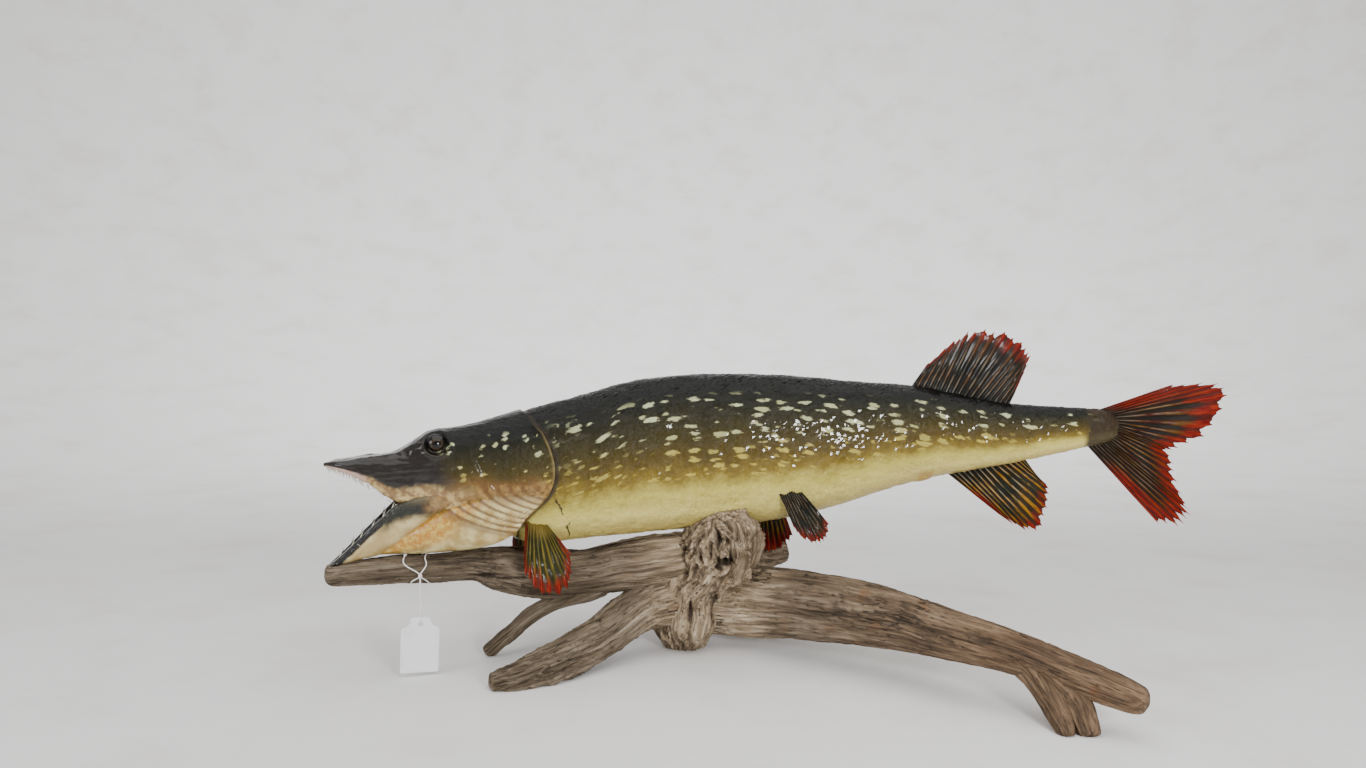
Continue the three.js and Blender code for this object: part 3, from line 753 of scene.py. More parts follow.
# %% Scale coat
# A scale's upper points as shares of its length and half width, their heights, and the order round its rim.
TOP = np.array([
    (0, -0.6), (0, 0), (0, 0.6), (0.5, -1), (0.5, 0), (0.5, 1), (0.86, -0.72), (1, 0), (0.86, 0.72),
])  # fmt: skip
LIFT = np.array([-0.3, -0.25, -0.3, 0.12, 0.3, 0.12, 0.3, 0.42, 0.3])
RIM = [0, 1, 2, 5, 8, 7, 6, 3]
LOW = len(TOP)
POINTS_EACH = LOW + len(RIM)
SCALE_LENGTH, SCALE_HALF_WIDTH, SCALE_SINK = 6.2, 2.7, 0.55


def scale_faces(count):
    """Four quads above, eight round the rim and an octagon below, repeated for every scale."""
    step = np.arange(count)[:, None] * POINTS_EACH
    quads = [(0, 3, 4, 1), (1, 4, 5, 2), (3, 6, 7, 4), (4, 7, 8, 5)]
    quads += [(RIM[i], RIM[(i + 1) % 8], LOW + (i + 1) % 8, LOW + i) for i in range(8)]
    faces = np.concatenate([step + np.array(q) for q in quads]).tolist()
    return faces + (step + np.arange(LOW, POINTS_EACH)[::-1]).tolist()


def scale_chart(mesh, f, g):
    """A map: each scale is a small patch at its root's place on the skin's grid."""
    patch = np.concatenate([TOP, TOP[RIM] * 0.8 + [0.1, 0]], 0)
    u = 0.02 + 0.95 * f / grid_rows + 0.003 * patch[:, 0]
    v = 0.02 + 0.95 * g / grid_columns + 0.0015 * patch[:, 1]
    corner = np.empty(len(mesh.loops), np.int32)
    mesh.loops.foreach_get("vertex_index", corner)
    flat = np.stack([u.ravel()[corner], v.ravel()[corner]], -1).ravel()
    mesh.uv_layers.new(name="OFBake").data.foreach_set("uv", flat.astype(np.float32))


def scales(name, chosen):
    """Joined closed scales on the chosen roots, with the skin's own markings and their own map.

    A corner is the root plus a share of the length and of the width, raised by a lift that differs from
    scale to scale and tips it a little sideways.
    """
    rng = np.random.default_rng(3)
    f, g, per_row, per_round = chosen.T[..., None]
    size = rng.uniform(0.85, 1.15, f.shape)
    rows = np.minimum(f + TOP[:, 0] * SCALE_LENGTH * size * per_row, grid_rows - 2.0)
    columns = g + TOP[:, 1] * SCALE_HALF_WIDTH * size * per_round
    tilt = rng.uniform(0.3, 1.7, f.shape) * LIFT + rng.normal(0, 0.2, f.shape) * TOP[:, 1]
    ground, normal = read_grid(spot, rows, columns), read_grid(outward, rows, columns)
    below = (ground - normal * SCALE_SINK)[:, RIM]
    points = np.concatenate([ground + normal * tilt[..., None], below], 1)
    obj = riding(surface(name, points * MM, scale_faces(len(chosen)), smooth=False))
    all_rows = np.concatenate([rows, rows[:, RIM]], 1)
    all_columns = np.concatenate([columns, columns[:, RIM]], 1)
    keep(obj, "lie", read_grid(lie_skin, all_rows, all_columns))
    keep(obj, "inner", read_grid(inner_skin, all_rows, all_columns))
    scale_chart(obj.data, f, g)
    return closed(obj, merge=False)


on_right = places[:, 1] % grid_columns < grid_columns / 2
coat = [scales("scales_right", places[on_right]), scales("scales_left", places[~on_right])]

# %% [markdown]
# ## Lower jaw, throat and tongue
#
# The lower jaw is a scoop: a superellipse below, and above it a rim of gum round a trough. The trough could
# be cut with a Boolean, but sinking the upper points of the same grid keeps a clean rim. The throat's
# membrane is pleated like a fan towards the free gill edge, and its last row runs along that edge. Lids
# close the throat's open ends; the jaw's ends stay open.

# %% Jaw
# The trough's rows are place along, floor and half width.
JAW = [
    [-296, 91, 88.5, 3], [-288, 98, 91, 8], [-272, 114, 95, 13], [-258, 128, 98, 16.5],
    [-242, 143, 106, 20], [-220, 150, 124, 24.7], [-192, 152, 143, 26],
]  # fmt: skip
TROUGH = [
    [-296, 90, 1], [-287, 95.5, 4.5], [-272, 101, 9.5], [-258, 106, 12.5], [-242, 114, 15.5],
    [-214, 134, 20], [-192, 146, 22],
]  # fmt: skip
JAW_TIP, JAW_LENGTH = -296, 104


def jaw_grid(rows, columns):
    """A superellipse with a flat top, whose middle is sunk to the trough's floor.

    The gum is uneven, a lip stands out below the rim, and a second fold runs lower down.
    """
    a = around(columns)[None]
    x = JAW_TIP + JAW_LENGTH * np.linspace(0, 1, rows)[:, None] ** 1.15 + 0 * a
    above = np.cos(a) > 0
    side, z, top, bottom, _ = section(JAW, x, a, np.where(above, 7, 2.3) + 0 * x)
    floor, wide = along(TROUGH, x)
    sunk = np.clip(1 - np.abs(side / wide) ** 2.4, 0, 1) ** 0.42 * above
    z = z + sunk * np.minimum(floor - z, 0)
    rim = (1 - sunk) * smooth(z, bottom + 0.55 * (top - bottom), top)
    gum = 0.5 * ripple(21, x / 3.5, side / 6, z / 3.5) * smooth(z, top - 9, top - 3) * (1 - sunk)
    outward = bend(side, 0) * smooth(np.abs(side), 1, 4)
    side = side + outward * (gum + 0.7 * hump(z, top - 3, 2.6) * (1 - sunk))
    side = side + outward * 0.5 * hump(z, top - 10 - 0.05 * (x - JAW_TIP), 1.6) * (1 - sunk)
    z = z + 0.3 * ripple(22, x / 14, side / 9) * (1 - rim)
    return x, side, z, (z - bottom) / (top - bottom), sunk, top


x, side, z, height, sunk, top = jaw_grid(150, 128)
jaw = piece("lower_jaw_scoop", on_spine(x, side, z), tube_faces(*x.shape), ["lower_jaw"])
keep(jaw, "lie", np.stack([x * MM, (top - z) * MM, height], -1))
keep(jaw, "inner", np.stack([sunk, 0 * x, 0 * x], -1))
closed(jaw)

# %% Throat
THROAT = [
    [-264, 101, 98, 4], [-250, 110, 98, 11], [-235, 122, 98, 18], [-212, 138, 98.5, 26.5],
    [-190, 148, 99.5, 32.5], [-170, 156, 100, 36.5], [-150, 160, 104.5, 39.2], [-118, 162, 118, 40.5],
]  # fmt: skip
CHIN, THROAT_LENGTH, THROAT_Z, THROAT_MID = -264, 146, (94, 170), 128


def throat_grid(rows, columns):
    """Superellipses from the chin to the free gill edge; the last rows shrink inwards under that edge."""
    share = np.linspace(0, 1, rows)[:, None] ** 0.9
    a = around(columns)[None]
    x = CHIN + THROAT_LENGTH * share + 0 * a
    square = np.where(np.cos(a) > 0, 2.8, 2.2 + 0.7 * smooth(x, -205, -170))
    for _ in range(5):
        z = section(THROAT, x, a, square)[1]
        edge = np.maximum(gill_x(np.clip(z, *THROAT_Z)), -238) - 1.5 * smooth(z, 140, 156)
        x = CHIN + share * (edge - CHIN)
    side, z, top, bottom, half = section(THROAT, x, a, square)
    fold = fan_folds(x, z) * smooth(z, 96, 101) * smooth(x, -232, -205)
    crease = 0.5 * ripple(31, x / 12, side / 5, z / 5) * smooth(x, -205, -225)
    grow = 1 + (fold - 0.2 + 0.6 * crease) / np.maximum(half, 12)
    side, z = side * grow, (z - (top + bottom) / 2) * grow + (top + bottom) / 2
    last = np.maximum(np.arange(rows)[:, None] - rows + 4, 0)
    pull = 1 - 0.02 * last
    return x, side * pull, (z - THROAT_MID) * pull + THROAT_MID, fold


x, side, z, fold = throat_grid(215, 400)
throat = piece("throat_fan", on_spine(x, side, z), tube_faces(*x.shape), ["throat"])
keep(throat, "lie", np.stack([0 * x, (gill_x(np.clip(z, *THROAT_Z)) - x) * MM, fold], -1))
closed(throat, lids=True)

# %% Tongue
TONGUE = [
    [-268, 103.5, 100.5, 3.5], [-255, 113, 105, 7], [-238, 124, 113, 9], [-228, 130, 120, 9.5],
    [-212, 138, 126, 9],
]  # fmt: skip
TONGUE_TIP, TONGUE_LENGTH, TONGUE_ROUND = -268, 54, 0.12

# Superellipses, drawn in by a quarter circle at the tip, with a groove along the middle of the upper side.
s, a = np.linspace(0, 1, 40)[:, None], around(32)[None]
x = TONGUE_TIP + TONGUE_LENGTH * s**1.2 + 0 * a
side, z, top, bottom, _ = section(TONGUE, x, a, 2.4)
tip = np.sqrt(np.clip(1 - (1 - np.clip(s / TONGUE_ROUND, 0, 1)) ** 2, 0, 1))
z = (top + bottom) / 2 + (z - (top + bottom) / 2) * tip - 0.9 * hump(side, 0, 2) * (np.cos(a) > 0) * tip
tongue = piece("tongue_pad", on_spine(x, side * tip, z), tube_faces(*z.shape), ["tongue"])
closed(tongue, lids=True)

# %% [markdown]
# ## Eyes and teeth
#
# A mount's eye is a glass half globe over a painted disc. A real glass shell would bake badly, so here the
# globe carries the colours itself, and a very smooth surface gives the wet shine. Its pole faces outwards,
# and the sine of the first angle is the distance from the middle of the disc. Teeth are short curved cones
# that lean back into the mouth.

# %% Eyes
EYE_RADIUS, EYE_DEPTH = 8.6, 8.4
up, a = np.linspace(0, math.pi, 40)[:, None], around(48)[None]
disc = np.sin(up) + 0 * a
eyes = []
for name, hand in (("left", -1), ("right", 1)):
    eye_x = EYE[0] + EYE_RADIUS * disc * np.cos(a)
    eye_side = hand * (EYE[1] + EYE_DEPTH * np.cos(up) + 0 * a)
    eye_z = EYE[2] + EYE_RADIUS * disc * np.sin(a)
    globe = on_spine(eye_x, eye_side, eye_z)
    eyes.append(piece(f"eye_globe_{name}", globe, tube_faces(*disc.shape), [f"eye_{name}"]))
    keep(eyes[-1], "lie", np.stack([disc, 0 * disc, 0 * disc], -1))
    closed(eyes[-1])


# %% Teeth
TOOTH_RINGS = TOOTH_SIDES = 6
TOOTH_SETS = (
    (7, -286, -238, "lower", 6.0, 0.7), (14, -292, -222, "lower", 1.3, 0.35),
    (18, -296, -264, "upper", 4.6, 0.62), (22, -262, -222, "upper", 1.5, 0.4),
    (14, -286, -236, "palate", 2.8, 0.55),
)  # fmt: skip


def cones(places, leans, lengths, radius):
    """Curved cones: rings shrink to a point and bend towards the lean, by their share of the length."""
    s = np.linspace(0, 1, TOOTH_RINGS)[None, :, None, None]
    a = around(TOOTH_SIDES)[None, None, :, None]
    places, leans = np.asarray(places, float)[:, None, None], np.asarray(leans, float)[:, None, None]
    lengths = np.asarray(lengths, float)[:, None, None, None]
    width = radius * (1 - s) ** 0.7 * (0.6 + 0.4 * lengths / lengths.max())
    ring = width * (np.cos(a) * np.array([1.0, 0, 0]) + np.sin(a) * np.array([0, 1.0, 0]))
    path = places + lengths * (s * np.array([0, 0, 1.0]) * np.sign(leans[..., 2:]) + s**1.8 * leans)
    base = np.repeat(places, TOOTH_SIDES, 2)
    return np.concatenate([base, path + ring], 1)


def tooth_rows():
    """Cones along both rims and the palate; a set is a count, two ends, its rows, a length and a radius."""
    rng = np.random.default_rng(8)
    sets = []
    for count, low, high, rows, long, radius in TOOTH_SETS:
        for hand in (-1, 1):
            x = np.linspace(low, high, count) + rng.uniform(-1, 1, count)
            if rows == "lower":
                top, _, half = along(JAW, x)
                side, z, lean = hand * (half * 0.86 - 0.4), top - 1.4, 0.35
            else:
                _, bottom, half = along(BODY, x)
                wide = along(PALATE, x)[1]
                share = 0.5 if rows == "palate" else 1.0
                side = hand * (wide * share + (half - wide) * 0.25 * share)
                z = bottom + 1.2 if rows == "upper" else along(PALATE, x)[0] - 1.0
                lean = -0.35
            lengths = long * rng.uniform(0.65, 1.1, count)
            points = np.stack([x, side + 0 * x, z], -1)
            leans = np.stack([0.45 + 0 * x, -hand * 0.12 + 0 * x, 0 * x + lean], -1)
            sets.append(cones(points, leans, lengths, radius))
    return np.concatenate(sets)


teeth_rings = tooth_rows()
count = len(teeth_rings)
rows, columns = teeth_rings.shape[1:3]
faces = np.concatenate([tube_faces(rows, columns, k * rows * columns) for k in range(count)])
teeth = piece("teeth", on_spine(*np.moveaxis(teeth_rings, -1, 0)), faces)
closed(teeth)
print(f"{count} teeth")

# %% [markdown]
# ## Fins
#
# A fin is a thin blade between a root line and a frayed outer line. Cutting the frayed edge out of a flat
# sheet with an alpha would leave no edge in the mesh, so the outer line itself is drawn in where the skin
# is torn. Every ray is a ridge on both faces, and the skin between two rays is a groove.


# %% Fin blades
FIN_ROWS, COLUMNS_PER_RAY = 60, 10


def numbered(line):
    """Rows for a smooth curve, with each point's share of the way as its first value."""
    return [[i / (len(line) - 1), *p] for i, p in enumerate(line)]


def frayed(u, rays, seed, fray):
    """How far each column reaches: less between two rays, in small notches, and by ray."""
    beat = u * rays
    torn = 2 * np.abs(beat - np.round(beat))
    notch = 2 * np.abs(3 * beat - np.round(3 * beat))
    rough = 0.5 + 0.5 * ripple(seed, u * rays * 0.33, 0 * u + 3)
    deep = 0.5 + 0.5 * ripple(seed + 1, np.floor(beat + 0.5) * 1.7, 0 * u)
    between = fray * (0.25 + 0.75 * rough) * torn**0.9
    return 1 - between - 0.3 * fray * notch * (1 - torn) - 0.09 * deep * (0.3 + 0.7 * rough)


def fin(name, node, root, tip, rays, thick, seed, flat=(0, 1, 0), fray=0.1, lift=0.0):
    """A closed blade: columns run out along one face and back along the other.

    Each point is mixed from the root line and the outer line. Thickness falls from root to tip and waves
    with the rays. flat is the blade's normal, and lift bows it.
    """
    u = np.linspace(0, 1, rays * COLUMNS_PER_RAY + 1)
    v = np.linspace(0, 1, FIN_ROWS)[:, None]
    inner, outer = np.stack(along(numbered(root), u), -1), np.stack(along(numbered(tip), u), -1)
    beat = u * rays
    w = v * frayed(u, rays, seed, fray)[None]
    arch = np.sin(math.pi * np.clip(w, 0, 1)) * lift
    blade = inner[None] * (1 - w[..., None]) + outer[None] * w[..., None]
    normal = np.asarray(flat, float)
    wavy = arch + 0.7 * ripple(seed + 2, u[None] * 2.2 + 0 * v, v * 1.5 + 0 * u)
    blade = blade + normal * wavy[..., None]
    rim = np.sqrt(np.clip(1 - np.abs(2 * u - 1) ** 14, 0, 1))
    ridge = 0.42 + 0.58 * (0.5 + 0.5 * np.cos(2 * math.pi * beat)) ** 0.8
    forked = 1 + 0.35 * np.cos(4 * math.pi * beat) * smooth(v, 0.35, 0.8)
    depth = thick * (1 - 0.72 * v**0.8) * ridge[None] * forked * (0.25 + 0.75 * rim[None])
    depth = depth * np.sqrt(np.clip((1.02 - v) * 12, 0.03, 1))
    front, back = blade - normal * depth[..., None] / 2, blade + normal * depth[..., None] / 2
    grid = np.concatenate([front, back[:, ::-1]], 1)
    flat_grid = np.concatenate([blade, blade[:, ::-1]], 1)
    rings = np.concatenate([flat_grid[:1], grid, flat_grid[-1:]])
    obj = piece(name, on_spine(*np.moveaxis(rings, -1, 0)), tube_faces(*rings.shape[:2]), [node])
    both = np.concatenate([beat, beat[::-1]])[None] + 0 * rings[..., 0]
    out = np.concatenate([w, w[:, ::-1]], 1)
    out = np.concatenate([out[:1], out, out[-1:]])
    share = np.concatenate([u, u[::-1]])[None] + 0 * rings[..., 0]
    keep(obj, "fan", np.stack([both, out, share], -1))
    return closed(obj)


def midline(*points):
    """A line on the fish's own middle, from places along and heights."""
    return [(x, 0, z) for x, z in points]


fins = {}
fins["dorsal"] = fin(
    "dorsal_rays", "fin_dorsal", midline((197, 227), (228, 222), (258, 217), (287, 211)),
    midline((217, 256), (240, 277), (259, 289), (283, 288), (303, 274), (310, 264), (301, 243)), 17, 3.0, 41,
)  # fmt: skip
fins["anal"] = fin(
    "anal_rays", "fin_anal", midline((229, 162), (252, 168), (275, 174), (298, 180)),
    midline((283, 119), (302, 106), (318, 103), (327, 124), (328, 142), (318, 152)), 15, 2.8, 44,
)  # fmt: skip
fins["tail"] = fin(
    "tail_rays", "fin_tail", midline((364, 213), (372, 207), (374, 200), (368, 193), (356, 186)),
    midline(
        (432, 238), (465, 240), (479, 229), (464, 196), (440, 180), (431, 176), (438, 158), (444, 134),
        (452, 118), (445, 108), (423, 111),
    ), 25, 3.4, 47, fray=0.13,
)  # fmt: skip
for name, hand in (("left", -1), ("right", 1)):
    fins[f"pectoral_{name}"] = fin(
        f"pectoral_rays_{name}", f"fin_pectoral_{name}",
        [(-143, hand * 27, 131), (-134, hand * 28.5, 128), (-126, hand * 30, 122)],
        [(x, hand * side, z) for x, side, z in (
            (-147, 44, 93), (-146, 46, 82), (-138, 47, 70), (-125, 47, 62), (-110, 46, 67), (-107, 44, 80),
            (-107, 42, 97),
        )], 12, 2.6, 50 + hand, flat=(0, hand * 0.96, 0.28), fray=0.12, lift=2.0,
    )  # fmt: skip
fins["pelvic_left"] = fin(
    "pelvic_rays_left", "fin_pelvic_left", [(74, -36, 151), (84, -36, 151), (94, -35, 150)],
    [(91, -46, 113), (99, -48, 104), (111, -49, 100), (120, -48, 102), (124, -46, 115)], 10, 2.4, 55,
    flat=(0, -0.96, 0.28), lift=1.5,
)  # fmt: skip
fins["pelvic_right"] = fin(
    "pelvic_rays_right", "fin_pelvic_right", [(65, 35, 139), (75, 35, 140), (85, 34, 141)],
    [(64, 39, 84), (70, 40, 76), (80, 40, 74), (94, 39, 79), (102, 38, 91)], 10, 2.4, 58,
    flat=(0, 0.98, 0.15), lift=1.0,
)  # fmt: skip

# %% [markdown]
# ## Driftwood
#
# Water and sand wear the soft wood away, and what stays is a bundle of hard fibres along each limb. It could
# be sculpted or displaced with a modifier, but then the furrows wouldn't follow the limb. So a limb is a
# tube along a curve, and its radius gets slow swells, long ribs and fine furrows, all of them far longer
# along the limb than across it. The straightened limb's coordinates are kept for the grain's colours. Each
# row of a table is a centre and a radius.

# %% Limbs
LIMBS = {
    "trunk": [
        [10, 4, 42, 28], [50, 0, 42, 31], [84, -22, 46, 29], [120, -54, 49.5, 26.5],
        [155, -84, 50.5, 24], [190, -117, 49, 20], [222, -147, 46, 16.5], [252, -173, 42, 14],
        [279, -195, 35.5, 12.5], [303, -215, 29.5, 11], [315, -225, 26.5, 8],
    ],
    "foot_left": [
        [234, -156, 46, 10], [251, -177, 35, 10.5], [259, -193, 21, 9], [263, -206, 8, 7.5],
        [265, -214, -2, 4.5],
    ],
    "foot_right": [
        [246, -165, 45, 12], [264, -184, 33, 13], [275, -198, 19, 11], [279, -207, 6, 9],
        [280, -212, -3, 7.5],
    ],
    "root_front": [
        [-8, -8, 44, 24], [-42, -25, 39, 19], [-74, -55, 23, 16.5], [-105, -88, 12.5, 14.5],
        [-134, -110, 7.5, 10.5], [-157, -120, 5, 6.5],
    ],
    "strand": [[-74, -60, 31, 9], [-98, -82, 24.5, 8.5], [-118, -98, 19, 7], [-132, -107, 15.5, 5.5]],
    "root_thin": [
        [-72, -27, 66, 12], [-92, -29, 56, 9.5], [-116, -30, 47, 7], [-138, -32, 35, 6.5],
        [-156, -31, 19, 6], [-177, -30, 1.5, 5],
    ],
    "limb_back": [
        [-104, 46, 71, 4.5], [-81, 46, 74, 8], [-54, 46, 77, 11.5], [-27, 42, 80, 13.5], [0, 27, 80, 18],
        [28, 29, 76, 18], [50, 49, 71, 14], [70, 61, 69.5, 12.5], [86, 68, 71.5, 11], [99, 71, 73, 8],
    ],
    "root_back": [[16, 10, 48, 22], [48, 42, 36, 16], [78, 72, 19, 12], [104, 98, 2, 9]],
    "knot": [
        [-2, -2, -8, 8], [-2, -2, 4, 18], [-1, -5, 26, 30], [4, -8, 50, 30], [18, -14, 74, 27],
        [29, -21, 94, 29], [29, -30, 114, 23], [25, -37, 127, 10],
    ],
    "branch": BRANCH,
}  # fmt: skip

# Where round the limb its broad ribs begin, in radians, and how blunt the ends are as a share of the radius.
PHASE = {
    "strand": 0.7, "knot": 1, "branch": 0.4, "trunk": 2, "foot_left": 1, "foot_right": 2.2,
    "root_front": 3, "root_thin": 0, "limb_back": 2.5, "root_back": 1.5,
}  # fmt: skip
BLUNT = 0.55


def ridged(seed, *axes):
    """Sharp crests: one less twice the distance of smooth noise from zero."""
    return 1 - 2 * np.abs(ripple(seed, *axes))


def limb_course(key, step):
    """Rings every step mm along the table's curve: length so far, share of the rows, path, radius, cap.

    The cap is a quarter circle from 0 at each end to 1.
    """
    rows = np.asarray(LIMBS[key], float)
    table = np.concatenate([np.arange(len(rows))[:, None], rows], 1)
    fine = np.linspace(0, len(rows) - 1, 2000)
    centre = np.stack(along(table, fine)[:3], -1)
    length = np.concatenate([[0], np.cumsum(np.linalg.norm(np.diff(centre, axis=0), axis=1))])
    s = np.linspace(0, length[-1], max(int(length[-1] / step), 12))
    t = np.interp(s, length, fine)
    x, y, z, r = along(table, t)
    cap = np.minimum(s / (BLUNT * r[0]), (length[-1] - s) / (BLUNT * r[-1]))
    cap = np.sqrt(np.clip(1 - (1 - np.clip(cap, 0.02, 1)) ** 2, 0, 1))
    return s[:, None], t[:, None] / (len(rows) - 1), np.stack([x, y, z], -1), r[:, None], cap[:, None]


def limb(key, seed, step, columns, gnarl=0.0, furrow=1.0):
    """A weathered tube: the radius times swells and ribs, plus furrows, deep splits and crags."""
    s, share, path, r, cap = limb_course(key, step)
    a = around(columns)[None]
    main = 0.06 * np.sin(3 * a + PHASE[key] + 4 * share) + 0.04 * np.sin(5 * a - PHASE[key])
    twist = a + 0.12 * ripple(seed, s / 90, 0 * s)
    c, w = np.cos(twist) * cap, np.sin(twist) * cap
    swell = 0.02 * ripple(seed + 1, s / 60, c, w)
    ribs = 0.02 * ridged(seed + 2, s / 160, c * 2.6, w * 2.6)
    furrows = 0.45 * ridged(seed + 3, s / 95, c * 6.5, w * 6.5)
    furrows = furrows + 0.3 * ridged(seed + 4, s / 60, c * 13, w * 13)
    furrows = furrow * (furrows + 0.2 * ridged(seed + 8, s / 40, c * 24, w * 24))
    deep = -furrow * 1.9 * smooth(np.abs(ripple(seed + 5, s / 130, c * 3.0, w * 3.0)), 0.05, 0.0)
    crags = 2.6 * ridged(seed + 6, s / 38, c * 1.3, w * 1.3) + 0.7 * ridged(seed + 7, s / 16, c * 2.4, w * 2.4)
    crags = gnarl * (0.7 + 2.3 * smooth(share, 0.4, 0.75)) * crags
    radius = r * (1 + main + swell + ribs) + (furrows + deep + crags) * np.clip(r / 12, 0.35, 1)
    straight = np.stack([c * radius, w * radius, s + 0 * c], -1)
    return capped(tube(path, radius * cap), path), np.concatenate([straight[:1], straight, straight[-1:]])


def wooden(name, nodes, seed, step, columns, change=None, **looks):
    """A limb as a piece, cut level where it would reach below the floor."""
    rings, straight = limb(name, seed, step, columns, **looks)
    rings, deep = change(rings) if change else (rings, 0 * rings[..., 0])
    level = 0.35 + 0.25 * ripple(seed + 9, rings[..., 0] / 9, rings[..., 1] / 9)
    rings[..., 2] = np.maximum(rings[..., 2], np.maximum(level, 0.05))
    obj = piece(f"driftwood_{name}", rings * MM, tube_faces(*rings.shape[:2]), nodes)
    keep(obj, "grain", straight * MM)
    # The dents' depth is kept for the finish, which paints shade into them.
    keep(obj, "place", np.stack([rings[..., 0] * MM, rings[..., 2] * MM, deep], -1))
    return closed(obj)


def dent(rings, places):
    """Pushes the surface inwards round each place, and says how deep it now lies, in mm.

    A place is a centre, a reach along x, y and z, a depth and a direction.
    """
    deep = np.zeros(rings.shape[:2])
    for centre, reach, depth, way in places:
        gap = np.linalg.norm((rings - np.asarray(centre)) / np.asarray(reach), axis=-1)
        gap = gap * (1 + 0.3 * ripple(19, *(np.moveaxis(rings, -1, 0) / 7)))
        push = depth * np.exp(-(gap**3))
        rings = rings + push[..., None] * np.asarray(way, float)
        deep = np.maximum(deep, push * np.sign(way[1]))
    return rings, deep


# %% Carved places
def carve_knot(rings):
    """A deep hollow, two long cracks and a few crests on the burl."""
    return dent(
        rings,
        [
            ((33, -52, 88), (7, 16, 3.6), 11, (0, 1, 0)), ((27, -50, 82), (4, 16, 3), 5, (0, 1, 0)),
            ((3, -40, 40), (2.2, 18, 13), 5, (0, 1, 0)), ((24, -38, 40), (3.2, 18, 15), 7, (0, 1, 0)),
            ((47, -34, 99), (7, 14, 6), 5, (0.7, -0.7, 0)), ((14, -46, 101), (7, 12, 8), 5, (-0.4, -0.9, 0)),
            ((12, -42, 70), (14, 14, 3.2), 6, (0, -1, 0)), ((44, -38, 66), (8, 14, 4), 6, (0.4, -0.9, 0)),
            ((30, -45, 106), (5, 12, 6), -5, (0, -1, 0)),
        ],
    )  # fmt: skip


def carve_trunk(rings):
    """Two rotten holes near the foot and a broken step along the side."""
    return dent(
        rings,
        [
            ((222, -163, 52), (8, 9, 3.2), 4, (0, 1, -0.3)), ((240, -178, 42), (5, 8, 2.6), 4, (0, 1, 0)),
            ((205, -146, 48), (16, 9, 3), 3, (0, 1, 0)), ((127, -84, 60), (2.5, 10, 7), 3, (0, 1, 0)),
            ((280, -206, 31), (14, 9, 4), 3, (0, -1, 0)),
        ],
    )  # fmt: skip


def carve_branch(rings):
    """Two open cracks in line, where an old limb left the branch."""
    return dent(
        rings,
        [((-172, -64, 79), (13, 10, 1.6), 5, (0, 1, 0)), ((-150, -64, 76), (14, 10, 1.6), 4, (0, 1, 0))],
    )  # fmt: skip


wood = [
    wooden("branch", ["wood_branch"], 61, 1.7, 168, carve_branch),
    wooden("trunk", ["wood_trunk"], 71, 1.9, 176, carve_trunk),
    wooden("foot_left", [], 81, 1.2, 88),
    wooden("foot_right", [], 91, 1.2, 96),
    wooden("root_front", ["wood_root_front"], 101, 1.5, 140, gnarl=0.35, furrow=1.35),
    wooden("strand", [], 151, 1.2, 72, gnarl=0.3, furrow=1.3),
    wooden("root_thin", ["wood_root_thin"], 111, 1.5, 88, gnarl=0.25),
    wooden("limb_back", ["wood_limb_back"], 121, 1.6, 120, gnarl=0.35),
    wooden("root_back", ["wood_root_back"], 131, 1.8, 112),
    wooden("knot", ["wood_knot"], 141, 0.75, 240, carve_knot, gnarl=1.0, furrow=1.25),
]

# %% [markdown]
# ## Weathered wood
#
# Sun and water bleach the fibres to grey and leave the grain's furrows darker. Painted shade darkens the
# surface further where it curves inwards, in dents and in cracks. Noise on plain coordinates would cut across
# the limbs, so the finish reads the straightened limb, squeezed along its length, and the fibres run along
# every limb. Near the knot the wood is palest. Towards the right end it is warmer, and a few spots are orange
# heartwood.

# %% Wood finish
timber = Finish("weathered_wood")
grain = timber.attribute("grain")
gx, gy, gs = timber.parts(grain)
px, _, deep = timber.parts(timber.attribute("place"))
here = timber.object_place()
wander = timber.noise(grain, 30, 2)
fibres = timber.vector(gx + 0.003 * wander, gy + 0.003 * wander, gs * 0.045)
hair = timber.noise(fibres, 1500, 4, 0.65)
strand = timber.noise(fibres, 420, 5, 0.6)
sweep = timber.noise(timber.vector(gx, gy, gs * 0.16), 95, 4)
patch = timber.noise(here, 17, 3)
crack = timber.noise(timber.vector(gx, gy, gs * 0.1), 150, 3)
crack = timber.step(timber.math("ABSOLUTE", crack - 0.5), 0.028, 0.0)
crack = crack * timber.step(timber.noise(grain, 26, 2), 0.5, 0.62)
tone = timber.ramp(
    0.55 * strand + 0.45 * sweep,
    (0.33, (0.03, 0.021, 0.013)), (0.42, (0.1, 0.072, 0.045)), (0.5, (0.21, 0.16, 0.108)),
    (0.59, (0.35, 0.285, 0.21)), (0.72, (0.55, 0.48, 0.385)),
)  # fmt: skip
pale = timber.step(timber.math("ABSOLUTE", px - 0.018), 0.075, 0.03)
tone = timber.mix(1.0, tone, timber.mix(pale, (0.6, 0.58, 0.55), (1.25, 1.22, 1.14)), "MULTIPLY")
warm = timber.step(px + 0.08 * patch, 0.07, 0.3)
tone = timber.mix(0.65 * warm, tone, timber.mix(1.0, tone, (0.8, 0.54, 0.35), "MULTIPLY"))
orange = timber.step(timber.noise(grain, 34, 3), 0.6, 0.72) * (0.3 + 0.35 * warm)
tone = timber.mix(orange, tone, timber.mix(1.0, tone, (1.15, 0.72, 0.42), "MULTIPLY"))
tone = timber.mix(0.5 * timber.step(hair, 0.48, 0.3), tone, (0.1, 0.08, 0.06))
# Painted shade: the colour darkens where the surface curves inwards, in furrows and hollows.
hollow = timber.step(timber.node("ShaderNodeNewGeometry", "Pointiness"), 0.49, 0.42)
tone = timber.mix(0.8 * hollow, tone, (0.05, 0.038, 0.028))
# Painted shade in the thin cracks along the grain, which the bump also sinks.
tone = timber.mix(0.9 * crack, tone, (0.025, 0.018, 0.013))
